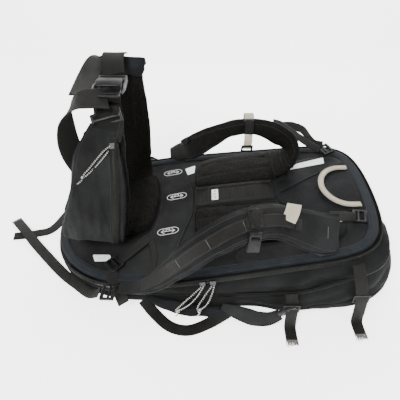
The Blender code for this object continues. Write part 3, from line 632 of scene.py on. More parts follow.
def tuft(name, route, share, surface, body, slot, length=0.012, strands=64, width=WEB, drop=0.0):
    """The frayed end of a strap, as loose threads."""
    frame_at = route.frames[-1] if share > 0.5 else route.frames[0]
    place, across, along, up = frame_at
    out = along if share > 0.5 else -along
    spots = []
    for k in range(strands):
        u = (k + 0.5) / strands - 0.5
        lean = 0.35 * noise.noise(Vector((k * 0.83, 2.0, 5.0)))
        reach = length * (0.65 + 0.5 * abs(noise.noise(Vector((k * 1.31, 7.0, 1.0)))))
        direction = (
            out + across * lean + up * (0.25 * noise.noise(Vector((k * 0.57, 3.0, 9.0))) + drop)
        ).normalized()
        start = place + across * (u * width)
        spots.append((start + direction * (reach * 0.5), direction, reach))
    made = bmesh.new()
    for middle, direction, reach in spots:
        side = direction.cross(up).normalized() * 0.0006
        lift = up * 0.0006
        ends = [middle - direction * reach * 0.5, middle + direction * reach * 0.5]
        low = [made.verts.new(ends[0] + d) for d in (side, lift, -side, -lift)]
        high = [made.verts.new(ends[1] + d * 0.5) for d in (side, lift, -side, -lift)]
        for i in range(4):
            made.faces.new((low[i], low[(i + 1) % 4], high[(i + 1) % 4], high[i]))
        made.faces.new(low[::-1])
        made.faces.new(high)
    return put(mesh_piece(name, made, surface, False), body, slot)


def zip_teeth(name, path, across, up, width, body, slot, pitch=TOOTH_PITCH):
    """Two rows of coil teeth that mesh along the middle of a zip's tape."""
    spots = []
    for k, (place, along) in enumerate(spaced(path, pitch / 2)):
        side = (across(place) if callable(across) else across).normalized()
        face = (up(place, along) if callable(up) else up).normalized()
        lean = 0.28 if k % 2 else -0.28
        offset = side * (width * (0.13 if k % 2 else -0.13))
        spots.append((place + offset, (side + along * lean).normalized(), face))
    return bars(name, spots, (0.62 * width, 0.0014, 0.0013), TEETH, body, slot)


def panel_outline(offset=0.0, spans=12):
    """The panel's outline as level points, moved out by the offset."""
    far = [Vector((x, y, 0)) for x, y in HALF_OUTLINE]
    near = [Vector((x, -y, 0)) for x, y in HALF_OUTLINE[1:-1]]
    path = smooth_path(far + near[::-1], spans, closed=True)
    moved = []
    for i, p in enumerate(path):
        along = (path[(i + 1) % len(path)] - path[i - 1]).normalized()
        out = Vector((along.y, -along.x, 0))
        out = out if out.dot(p + Vector((0.04, 0, 0))) > 0 else -out
        moved.append(p + out * offset)
    return moved


def outward(p):
    """The level direction out of the pack at a point near its side."""
    return Vector(((p.x + 0.04) * 0.35, p.y, 0)).normalized()


def swollen(offset, share, spans=12):
    """The outline moved out, and swollen towards the pack's top as the filled bag is."""
    made = []
    for p in panel_outline(offset, spans):
        rise = max(0.0, min(1.0, (p.x + 0.2) / 0.42))
        wider = 1 + 0.26 * share * rise * rise * (3 - 2 * rise)
        made.append(Vector((p.x + 0.042 * share * max(0, p.x / 0.33) ** 2, p.y * wider, 0)))
    return made


def at_height(outline, height):
    return [Vector((p.x, p.y, height(p.x))) for p in outline]


def eased(values, share):
    """Like between, but smooth from value to value."""
    place = max(0.0, min(1.0, share)) * (len(values) - 1)
    low = min(int(place), len(values) - 2)
    t = place - low
    four = [values[max(0, min(len(values) - 1, low + k))] for k in (-1, 0, 1, 2)]
    return catmull(*four, t)


def pad_rings(corners, radius, bottom, height, crown, pull=0.01, rows=9):
    """Rings of a cushion on the panel: an upright side that curves over to a crowned top."""
    outline = rounded(corners, radius)
    middle = sum(outline, Vector((0, 0, 0))) / len(outline)
    rings = [[Vector((p.x, p.y, panel_z(p.x) + bottom)) for p in outline]]
    for k in range(rows + 1):
        t = k / rows
        a = t * math.pi / 2
        inset = pull * (1 - math.cos(a))
        ring = []
        for p in outline:
            d = (p - middle)
            q = middle + d * (1 - inset / max(d.length, 1e-6))
            ring.append(Vector((q.x, q.y, panel_z(q.x) + bottom + height * (0.25 + 0.75 * math.sin(a)))))
        rings.append(ring)
    top = rings[-1]
    for share in (0.8, 0.58, 0.36, 0.16, 0.03):
        ring = []
        for p in top:
            q = middle + (Vector((p.x, p.y, 0)) - middle) * share
            ring.append(Vector((q.x, q.y, panel_z(q.x) + bottom + height + crown * (1 - share**2))))
        rings.append(ring)
    return rings


def rounded(corners, radius, steps=5):
    count = len(corners)
    made = []
    for i in range(count):
        here = Vector((*corners[i], 0))
        to_last = Vector((*corners[i - 1], 0)) - here
        to_next = Vector((*corners[(i + 1) % count], 0)) - here
        reach = min(radius, 0.45 * to_last.length, 0.45 * to_next.length)
        start = here + to_last.normalized() * reach
        end = here + to_next.normalized() * reach
        for step in range(steps + 1):
            t = step / steps
            made.append(start * (1 - t) ** 2 + here * (2 * t * (1 - t)) + end * t**2)
    return made


def resampled(outline, step):
    return [p for p, _ in spaced(list(outline), step, closed=True)]


def patch(name, corners, height, surface, slot, node, radius=0.0015, lift=0.0012, body="pack"):
    """A thin sewn patch that lies on the panel."""
    outline = resampled(rounded(corners, radius), 0.004)
    middle = sum(outline, Vector((0, 0, 0))) / len(outline)
    made = [[Vector((p.x, p.y, panel_z(p.x) + lift)) for p in outline]]
    for share, rise in ((1.0, 0.6), (0.985, 1.0), (0.7, 1.15), (0.35, 1.2), (0.05, 1.2)):
        ring = [middle + (p - middle) * share for p in outline]
        made.append([Vector((p.x, p.y, panel_z(p.x) + lift + rise * height)) for p in ring])
    return put(skin(name, made, surface), body, slot, *([node] if node else []))


# The camera, then the cords.


def camera():
    data = bpy.data.cameras.new("photo_camera")
    data.lens = 35
    data.sensor_width = 36
    made = bpy.data.objects.new("photo_camera", data)
    made.location = (-0.061, -0.663, 0.79)
    made.rotation_euler = (math.radians(45), 0, 0)
    bpy.context.collection.objects.link(made)
    bpy.context.scene.camera = made


WING_LINE = [
    (-0.296, -0.078, 0.094),
    (-0.292, -0.074, 0.14),
    (-0.276, -0.056, 0.205),
    (-0.271, -0.016, 0.268),
    (-0.258, 0.036, 0.318),
]
WING_SIDES = [(1, 0, 0), (1, 0, 0), (1, 0, 0), (1, 0.15, 0.12), (1, 0.2, 0.2)]
WING = Route(WING_LINE, WING_SIDES, [0.136, 0.146, 0.132, 0.112, 0.07], [0.016, 0.018, 0.018, 0.016, 0.01])
POCKET = Route(
    [(-0.296, -0.078, 0.11), *WING_LINE[1:4], (-0.262, 0.026, 0.306)],
    WING_SIDES,
    [0.136, 0.142, 0.126, 0.1, 0.06],
    [0.022, 0.034, 0.036, 0.026, 0.008],
    [0.027, 0.03, 0.031, 0.025, 0.015],
)


def knot(name, place, down, surface, body, slot, size=0.0042):
    """An overhand knot as a short fat coil, with a cut end below it."""
    down = down.normalized()
    side = down.cross(Vector((0, 0, 1)))
    side = (side if side.length > 0.1 else Vector((1, 0, 0))).normalized()
    other = down.cross(side)
    turns = []
    for k in range(33):
        a = k / 32 * 2.4 * 2 * math.pi
        reach = size * 0.55
        turns.append(
            place + side * (
                reach * math.cos(a)
            ) + other * (reach * math.sin(a)) + down * (size * (k / 16 - 1))
        )
    tail = [turns[-1], turns[-1] + down * 0.006 + side * 0.001, turns[-1] + down * 0.014 + side * 0.004]
    return tube(name, turns + smooth_path(tail, 5)[1:], 0.0013, surface, body, slot)


def pull_cord(name, points, exit_at, body, node, knot_at, down):
    path = smooth_path(points, 6)
    obj = tube(name, path, CORD / 2, FLECKED, body, "flecked_cord")
    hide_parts(node)
    end = knot(name + "_knot", knot_at, down, FLECKED, body, "flecked_cord")
    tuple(exit_at)
    round(length_of(path), 3)
    [tuple(p) for p in path]


def cords():
    for name, x, lean in (("a", -0.056, -0.04), ("b", -0.034, -0.022)):
        z = panel_z(x) - 0.007
        points = [
            (x - 0.002, -0.221, z - 0.002),
            (x - 0.008 + 0.4 * lean, -0.236, z - 0.014),
            (x - 0.009 + 0.9 * lean, -0.246, z - 0.032),
            (x - 0.004 + 1.3 * lean, -0.25, z - 0.046),
            (x + 0.003 + 1.3 * lean, -0.25, z - 0.046),
            (x + 0.007 + 0.9 * lean, -0.246, z - 0.032),
            (x + 0.005 + 0.4 * lean, -0.237, z - 0.014),
            (x + 0.003, -0.221, z + 0.001),
        ]
        low = Vector((x + 1.3 * lean, -0.251, z - 0.05))
        pull_cord(
            f"pull_loop_{name}", points, points[0], f"zip_slider_{name}", f"pull_cord_{name}", low,
            Vector((0.3 * lean / 0.04, -0.1, -1)),
        )
    route = [
        (0.835, 0.3, 0.0125), (0.8, 0.16, 0.012), (0.74, 0.0, 0.008), (0.68, -0.14, 0.006),
        (0.65, -0.22, 0.006),
    ]
    route += [(0.64, -0.19, 0.006), (0.68, -0.06, 0.0065), (0.74, 0.1, 0.0085), (0.8, 0.25, 0.0115)]
    coarse = Route(
        [(-0.296, -0.078, 0.11), *WING_LINE[1:4], (-0.262, 0.026, 0.306)],
        WING_SIDES,
        POCKET.widths,
        POCKET.thicks,
        POCKET.raised,
        spans=3,
    )
    points = [coarse.at(*place) for place in route]
    end = coarse.at(0.632, -0.235, 0.0062)
    pull_cord(
        "pocket_pull_loop", points, tuple(points[0]), "pocket_slider", "pocket_pull_cord", end,
        end - points[3],
    )


# The bag.


SIDE_FOLDS = {
    "main_compartment": [
        [(0.01, -0.245, 0.084), (0.08, -0.245, 0.08), (0.14, -0.24, 0.092), (0.19, -0.225, 0.118)],
        [(0.105, -0.245, 0.076), (0.16, -0.24, 0.094), (0.215, -0.22, 0.122), (0.25, -0.2, 0.132)],
        [(-0.3, -0.17, 0.05), (-0.25, -0.2, 0.044), (-0.19, -0.22, 0.05)],
    ],
    "front_compartment": [
        [(0.18, -0.25, 0.04), (0.23, -0.245, 0.052), (0.29, -0.215, 0.07), (0.33, -0.17, 0.084)],
        [(0.16, -0.25, 0.058), (0.215, -0.245, 0.074), (0.262, -0.225, 0.096)],
        [(0.02, -0.25, 0.036), (0.09, -0.255, 0.03), (0.14, -0.255, 0.034)],
    ],
}


def lifted_crease(p):
    """How far the fold between the two compartments climbs at the near top corner."""
    along = max(0.0, min(1.0, (p.x - 0.125) / 0.155))
    near = max(0.0, min(1.0, (-p.y - 0.02) / 0.1))
    return 0.04 * along * along * (3 - 2 * along) * near


def bag_skin(name, offsets, shares, heights, body_rows, node, slot, crease):
    rings = []
    for k in range(body_rows + 1):
        t = k / body_rows
        outline = swollen(eased(offsets, t), eased(shares, t))
        rings.append(at_height(outline, lambda x: heights(x, t)))
    middle = Vector((-0.04, 0, 0))
    low, high = rings[0], rings[-1]
    inner_low = [[middle + (p - middle) * s for p in low] for s in (0.15, 0.45, 0.75, 0.93)]
    inner_high = [[middle + (p - middle) * s for p in high] for s in (0.93, 0.75, 0.45, 0.15)]
    for ring, height in [(r, lambda x: heights(x, 0)) for r in inner_low] + [
        (r, lambda x: heights(x, 1)) for r in inner_high
    ]:
        for p in ring:
            p.z = height(p.x)
    for ring in inner_low + rings + inner_high:
        for p in ring:
            top = panel_z(p.x) - 0.014
            split = split_z(p.x)
            share = p.z / split if p.z < split else max(0.0, (top - p.z) / (top - split))
            p.z += lifted_crease(p) * max(0.0, min(1.0, share))
    obj = skin(name, inner_low + rings + inner_high, SHELL)
    side = lambda co: max(0.0, min(1.0, ((co - middle).to_2d().length - 0.1) / 0.08)) * crease(co)
    crumple(obj, 0.0062, 11.0, (0.55, 1.0, 1.5), 1.0 + len(name), False, side)
    crumple(obj, 0.005, 15.0, (0.4, 0.8, 1.6), 4.0 + len(name), True, side)
    for points in SIDE_FOLDS[name]:
        groove(obj, hugged(smooth_path(points, 8), obj, 0.0), 0.006, 0.009)
    put(obj, "pack", slot, node)
    return obj


def bag():
    under = 0.007 + 0.0015 + 0.003 + 4 * 0.0004

    def main_height(x, t):
        return (1 - t) * (split_z(x) + 0.0004) + t * (panel_z(x) - under)

    def front_height(x, t):
        return t * split_z(x)

    def fade(low, high, edge):
        return lambda co: max(0.0, min(1.0, (co.z - low(co.x)) / edge)) * max(
            0.0, min(1.0, (high(co.x) - co.z) / edge),
        )

    bag_skin(
        "main_compartment", [-0.008, -0.001, 0.0045, 0.005, 0.003, -0.007],
        [0.7, 0.62, 0.5, 0.34, 0.16, 0.0], main_height, 22, "bag_main", "shell_fabric",
        fade(split_z, lambda x: panel_z(x) - 0.02, 0.02),
    )
    front = bag_skin(
        "front_compartment", [-0.03, -0.01, -0.001, 0.003, 0.003, -0.001, -0.009],
        [0.8, 0.92, 1.0, 0.99, 0.94, 0.84, 0.7], front_height, 20, "bag_front_compartment", "shell_fabric",
        fade(lambda x: 0.0, split_z, 0.022),
    )
    crease = at_height(swollen(-0.0075, 0.72), lambda x: split_z(x) + 0.001)
    for p in crease:
        p.z += lifted_crease(p)
    band = []
    for i, p in enumerate(crease):
        out = outward(p)
        band.append(
            [
                p + out * v + Vector((0, 0, u))
                for u, v in (
                    (-0.006, 0.0055), (0.0, 0.0062), (0.006, 0.0055), (0.006, 0.0035), (-0.006, 0.0035),
                )
            ]
        )
    put(skin("front_zip_tape", band, ZIP_TAPE, looped=True), "pack", "zip_tape")
    row = [p + outward(p) * 0.0068 for p in crease if p.y < 0.02]
    start = max(range(len(row)), key=lambda i: (row[i] - row[i - 1]).length)
    zip_teeth(
        "front_zip_teeth", row[start:] + row[:start], Vector((0, 0, 1)), lambda p, a: outward(p), 0.007,
        "pack", "zip_tape", 0.0036,
    )
    piping = at_height(swollen(0.0052, 0.985), lambda x: 0.52 * split_z(x))
    for p in piping:
        p.z += 0.52 * lifted_crease(p)
    seam = hugged(piping, front, 0.0004)
    tube("front_seam_piping", seam + seam[:1], 0.0014, SHELL, "pack", "shell_fabric", 6)


def edge_zip():
    path = [p for p in panel_outline(0.0058, 9) if p.x > -0.37]
    start = next(i for i in range(len(path)) if (path[i] - path[i - 1]).length > 0.06)
    path = at_height(path[start:] + path[:start], lambda x: panel_z(x) - 0.007)
    section = [
        (-0.0088, 0.0008), (-0.0088, -0.001), (0.0062, -0.001), (0.0062, 0.0008), (0.002, 0.0014),
        (-0.002, 0.0014),
    ]
    rings = [[p + outward(p) * v + Vector((0, 0, u)) for u, v in section] for p in path]
    put(skin("edge_zip_tape", rings, ZIP_TAPE, smooth=False), "pack", "zip_tape", "main_zip")
    row = [p + outward(p) * 0.002 for p in path]
    zip_teeth(
        "edge_zip_teeth", row, Vector((0, 0, 1)), lambda p, a: outward(p), 0.012, "pack", "zip_tape",
        0.0054,
    )
    for name, rise in (("low", -0.005), ("high", 0.005)):
        line = [p + outward(p) * 0.001 + Vector((0, 0, rise)) for p in path]
        stitches(
            f"edge_zip_stitches_{name}", line, lambda p: outward(p), DARK_THREAD, "pack", "zip_tape", 0.005,
        )


def panel():
    outline = panel_outline(-0.0065)
    middle = Vector((-0.04, 0, 0))
    rings = [
        at_height(outline, lambda x: panel_z(x) - 0.007), at_height(outline, lambda x: panel_z(x) - 0.001),
    ]
    for share in (0.985, 0.95, 0.88, 0.78, 0.66, 0.52, 0.38, 0.24, 0.1, 0.01):
        rings.append(at_height([middle + (p - middle) * share for p in outline], lambda x: panel_z(x)))
    obj = crumple(skin("panel_cloth", rings, SLATE), 0.0007, 26.0, seed=3.0)
    put(obj, "pack", "shell_fabric", "harness_panel")
    edges = [
        (panel_outline(-0.023), 0.0012), (panel_outline(-0.014), 0.0026), (panel_outline(-0.006), 0.002),
        (panel_outline(-0.001), -0.0004), (panel_outline(-0.0018), -0.003),
        (panel_outline(-0.0055), -0.0012), (panel_outline(-0.014), 0.0006), (panel_outline(-0.023), 0.0002),
    ]
    count = len(edges[0][0])
    rings = [[Vector((o[i].x, o[i].y, panel_z(o[i].x) + z)) for o, z in edges] for i in range(count)]
    rim = skin("panel_rim", rings, BINDING, looped=True)
    crumple(rim, 0.0007, 40.0, seed=8.0)
    put(rim, "pack", "binding_tape", "panel_binding")
    for name, offset, rise in (("inner", -0.0205, 0.0021), ("outer", -0.005, 0.0022)):
        stitches(
            f"rim_stitches_{name}", at_height(panel_outline(offset), lambda x: panel_z(x) + rise),
            Vector((0, 0, 1)), DARK_THREAD, "pack", "binding_tape", 0.005, True,
        )


def pads():
    shapes = {
        "back_pad_far": (
            [
                (-0.072, 0.067), (0.116, 0.068), (0.15, 0.084), (0.153, 0.16), (0.12, 0.178),
                (-0.04, 0.178), (-0.07, 0.148),
            ],
            0.016, 0.0125, 0.002,
        ),
        "back_pad_near": (
            [
                (-0.07, -0.09), (-0.04, -0.122), (0.118, -0.126), (0.148, -0.104), (0.146, -0.03),
                (0.112, -0.012), (-0.072, -0.009),
            ],
            0.016, 0.0125, 0.002,
        ),
        "lumbar_pad": (
            [
                (-0.362, -0.06), (-0.215, -0.076), (-0.18, -0.062), (-0.165, 0.0), (-0.163, 0.06),
                (-0.18, 0.15), (-0.318, 0.15), (-0.362, 0.095),
            ],
            0.04, 0.02, 0.005,
        ),
    }
    lines = {
        "back_pad_far": [
            [(-0.055, 0.098), (0.02, 0.101), (0.1, 0.105), (0.14, 0.108)],
            [(-0.055, 0.14), (0.02, 0.143), (0.1, 0.146), (0.135, 0.146)],
        ],
        "back_pad_near": [
            [(-0.058, -0.048), (0.02, -0.05), (0.09, -0.052), (0.136, -0.06)],
            [(-0.052, -0.086), (0.02, -0.088), (0.09, -0.09), (0.136, -0.092)],
        ],
    }
    for name, (corners, radius, height, crown) in shapes.items():
        rings = pad_rings(corners, radius, 0.0008, height, crown)
        obj = skin(name + "_cushion", rings, MESH)
        puffed(obj, lambda co: co.z < panel_z(co.x) + 0.005, 0.004)
        for points in lines.get(name, []):
            line = at_height(
                smooth_path([(*p, 0) for p in points], 8), lambda x: panel_z(x) + height + 0.002,
            )
            groove(obj, line, 0.002, 0.0045)
        crumple(obj, 0.0016, 40.0, seed=5.0)
        put(obj, "pack", "mesh_fabric", name)
        edge = resampled(rounded(corners, radius), 0.005)
        middle = sum(edge, Vector((0, 0, 0))) / len(edge)
        seam = [
            Vector((p.x, p.y, panel_z(p.x) + 0.0022))
            for p in (middle + (q - middle) * 1.02 for q in edge)
        ]
        tube(name + "_piping", seam + seam[:1], 0.0017, SMOOTH, "pack", "mesh_fabric", 6)


def spine():
    """The ribbed column between the pads, with a blank label on it."""
    rings = []
    count = 64
    for k in range(count + 1):
        x = -0.073 + 0.193 * k / count
        low = -0.004 - 0.004 * k / count
        high = 0.062 + 0.001 * k / count
        rib = 0.0014 * math.sin(2 * math.pi * x / 0.0068)
        ends = min(1.0, 6 * min(k, count - k) / count)
        ring = []
        for u, v in (
            (0.0, 0.0), (0.0, 0.45), (0.03, 0.8), (0.12, 0.98), (0.3, 1.02), (0.5, 1.05), (0.7, 1.02),
            (0.88, 0.98), (0.97, 0.8), (1.0, 0.45), (1.0, 0.0),
        ):
            rise = v * (0.0084 * ends + 0.0012) + (rib if 0.1 < u < 0.9 else 0)
            ring.append(Vector((x, low + (high - low) * u, panel_z(x) + 0.0006 + rise)))
        rings.append(ring)
    obj = skin("spine_ribs", rings, COLUMN)
    put(obj, "pack", "webbing", "spine_column")
    for name, y in (("near", 0.001), ("far", 0.0575)):
        strap(
            f"spine_edge_{name}",
            [
                (-0.071, y, panel_z(-0.071) + 0.0085), (-0.02, y, panel_z(-0.02) + 0.0105),
                (0.06, y, panel_z(0.06) + 0.0105), (0.118, y, panel_z(0.118) + 0.0088),
            ],
            [(0, 1, 0)] * 2, 0.011, 0.0014, SMOOTH, "pack", "webbing",
        )
    patch(
        "blank_label", [(-0.032, 0.01), (-0.016, 0.01), (-0.016, 0.047), (-0.032, 0.047)], 0.0008, REFLECT,
        "reflective", "size_label", 0.001, 0.0112,
    )
    dashes = [
        (Vector((-0.024, y, panel_z(-0.024) + 0.0132)), Vector((1, 0, 0.15)), Vector((0, 0, 1)))
        for y in (0.018, 0.0285, 0.039)
    ]
    bars("label_dashes", dashes, (0.006, 0.0022, 0.0004), DARK_THREAD, "pack", "reflective")


def icon(name, place, turn, size):
    """A generic sign, a two-way arrow inside a long rounded frame: a part that adjusts."""
    frame_line = []
    for k in range(25):
        a = 2 * math.pi * k / 24
        frame_line.append((math.copysign(0.75, math.cos(a)) + 0.85 * math.cos(a), 0.62 * math.sin(a)))
    lines = [
        frame_line, [(-1, 0), (1, 0)], [(-0.62, 0.34), (-1, 0), (-0.62, -0.34)],
        [(0.62, 0.34), (1, 0), (0.62, -0.34)], [(-0.3, 0.0), (-0.3, 0.36), (0.3, 0.36), (0.3, 0.0)],
    ]
    spots = []
    for line in lines:
        at = []
        for x, y in line:
            c, s = math.cos(turn), math.sin(turn)
            p = Vector((place[0] + size * (x * c - y * s), place[1] + size * (x * s + y * c), 0))
            at.append(Vector((p.x, p.y, panel_z(p.x) + 0.0043)))
        for p, along in spaced(at, 0.0016):
            spots.append((p, along, Vector((0, 0, 1))))
    bars(name, spots, (0.0024, 0.0012, 0.0004), PRINT, "pack", "reflective")


def flap():
    corners = [
        (-0.162, 0.17), (-0.16, 0.1), (-0.158, 0.05), (-0.16, -0.01), (-0.17, -0.066), (-0.17, -0.11),
        (-0.152, -0.176), (-0.122, -0.176), (-0.112, -0.12), (-0.098, -0.077), (-0.079, -0.02),
        (-0.079, 0.06), (-0.092, 0.112), (-0.108, 0.17),
    ]
    obj = patch("torso_flap_cloth", corners, 0.0016, SLATE, "strap_fabric", "torso_flap", 0.01, 0.0012)
    crumple(obj, 0.0004, 60.0, seed=2.0)
    edge = resampled(rounded(corners, 0.01), 0.004)
    middle = sum(edge, Vector((0, 0, 0))) / len(edge)
    line = [
        Vector((p.x, p.y, panel_z(p.x) + 0.0034))
        for p in (middle + (q - middle) * 0.965 for q in edge)
    ]
    stitches(
        "torso_flap_stitches", line, Vector((0, 0, 1)), DARK_THREAD, "pack", "strap_fabric", 0.005, True,
    )
    hem = [Vector((p.x, p.y, panel_z(p.x) + 0.002)) for p in edge]
    tube("torso_flap_hem", hem + hem[:1], 0.0013, SLATE, "pack", "strap_fabric", 6)
    icon("adjust_sign_far", (-0.134, 0.138), 0.1, 0.015)
    icon("adjust_sign_middle", (-0.12, 0.044), 0.12, 0.0155)
    icon("adjust_sign_near", (-0.136, -0.07), 0.1, 0.0155)


def patches():
    shapes = {
        "reflector_bottom": [(-0.309, -0.117), (-0.267, -0.122), (-0.259, -0.14), (-0.3, -0.137)],
        "reflector_near": [(-0.092, -0.118), (-0.073, -0.118), (-0.073, -0.14), (-0.088, -0.14)],
        "reflector_far": [(-0.102, 0.15), (-0.074, 0.16), (-0.076, 0.13), (-0.095, 0.124)],
        "reflector_top_far": [(0.168, 0.098), (0.189, 0.118), (0.259, 0.131), (0.257, 0.108)],
        "reflector_top_near": [(0.238, -0.079), (0.257, -0.079), (0.252, -0.092), (0.24, -0.092)],
    }
    for name, corners in shapes.items():
        patch(
            name + "_film", corners, 0.0007, REFLECT, "reflective", name,
            lift=0.003 if "top" in name else 0.0014,
        )


def yoke():
    """The smooth cover between the pads and the haul loop, with two seams sewn across it."""
    corners = [
        (0.122, -0.124), (0.15, -0.15), (0.228, -0.14), (0.256, -0.124), (0.266, -0.06), (0.306, -0.04),
        (0.314, -0.01), (0.312, 0.09), (0.292, 0.128), (0.23, 0.138), (0.16, 0.126), (0.156, 0.07),
        (0.124, 0.06), (0.124, -0.008), (0.15, -0.03),
    ]
    outline = resampled(rounded(corners, 0.014), 0.005)
    middle = sum(outline, Vector((0, 0, 0))) / len(outline)
    rings = [[Vector((p.x, p.y, panel_z(p.x) + 0.0006)) for p in outline]]
    for share, rise in (
        (1.0, 0.0014), (0.97, 0.0026), (0.9, 0.003), (0.8, 0.003), (0.66, 0.003), (0.5, 0.003),
        (0.34, 0.003), (0.18, 0.003), (0.03, 0.003),
    ):
        ring = [middle + (p - middle) * share for p in outline]
        rings.append([Vector((p.x, p.y, panel_z(p.x) + rise)) for p in ring])
    obj = skin("top_yoke", rings, SMOOTH)
    crumple(
        obj, 0.001, 24.0, (1.0, 0.6, 1.0), 6.0,
        mask=lambda co: 1.0 if co.z > panel_z(co.x) + 0.0018 else 0.0,
    )
    put(obj, "pack", "shell_fabric")
    for name, points in (
        ("a", [(0.135, 0.02), (0.19, 0.05), (0.255, 0.082), (0.3, 0.1)]),
        ("b", [(0.14, -0.06), (0.2, -0.072), (0.26, -0.066), (0.306, -0.05)]),
    ):
        line = at_height(smooth_path([(*p, 0) for p in points], 10), lambda x: panel_z(x) + 0.0042)
        tube(f"yoke_seam_{name}", line, 0.0012, SMOOTH, "pack", "shell_fabric", 6)
        stitches(
            f"yoke_stitches_{name}", [p + Vector((0, 0.0032, 0.0002)) for p in line], Vector((0, 0, 1)),
            DARK_THREAD, "pack", "shell_fabric", 0.005,
        )


# The hip belt.


def hugged(path, obj, above):
    """The path moved onto a piece's own skin, and lifted off it."""
    made = []
    for p in path:
        _, place, normal, _ = obj.closest_point_on_mesh(p)
        made.append(place + normal * above)
    return made


def skin_up(obj):
    return lambda p: obj.closest_point_on_mesh(p)[2]


def side_line(route, u, above=0.0, start=0.0, end=1.0, side=1, count=60):
    """A line along a pad at one place across it, on one face, or on its edge where u is 0.5."""
    path = []
    for k in range(count + 1):
        share = start + (end - start) * k / count
        off = above if abs(u) < 0.499 else -0.5 * between(route.thicks, share)
        path.append(route.at(share, u, off, side))
    return path


def pad_piece(
    name, route, surface, body, slot, node, hold, cap, section=None, folds=0.0, channels=(), sides=(1, -1),
):
    """A foam pad: its section carried along its route, swollen, with sewn channels."""
    obj = skin(name, route.rings(section or pad_section()), surface)
    puffed(obj, hold, cap)
    for u in channels:
        for side in sides:
            groove(obj, side_line(route, u, 0.002, 0.06, 0.94, side), 0.0045, 0.0055)
    if folds:
        crumple(obj, folds, 17.0, (1.5, 1.5, 0.55), 2.0 + len(name), True)
    crumple(obj, 0.0014, 42.0, seed=len(name))
    put(obj, body, slot, node)
    return obj


def edging(name, route, obj, radius, surface, body, slot, start=0.01, end=0.99):
    """Bound edges along both sides of a pad."""
    for label, u in (("a", 0.5), ("b", -0.5)):
        path = hugged(side_line(route, u, start=start, end=end), obj, 0.0002)
        path = [
            path[max(0, i - 1)] * 0.25 + p * 0.5 + path[min(len(path) - 1, i + 1)] * 0.25
            for i, p in enumerate(path)
        ]
        tube(f"{name}_{label}", path, radius, surface, body, slot, 8)


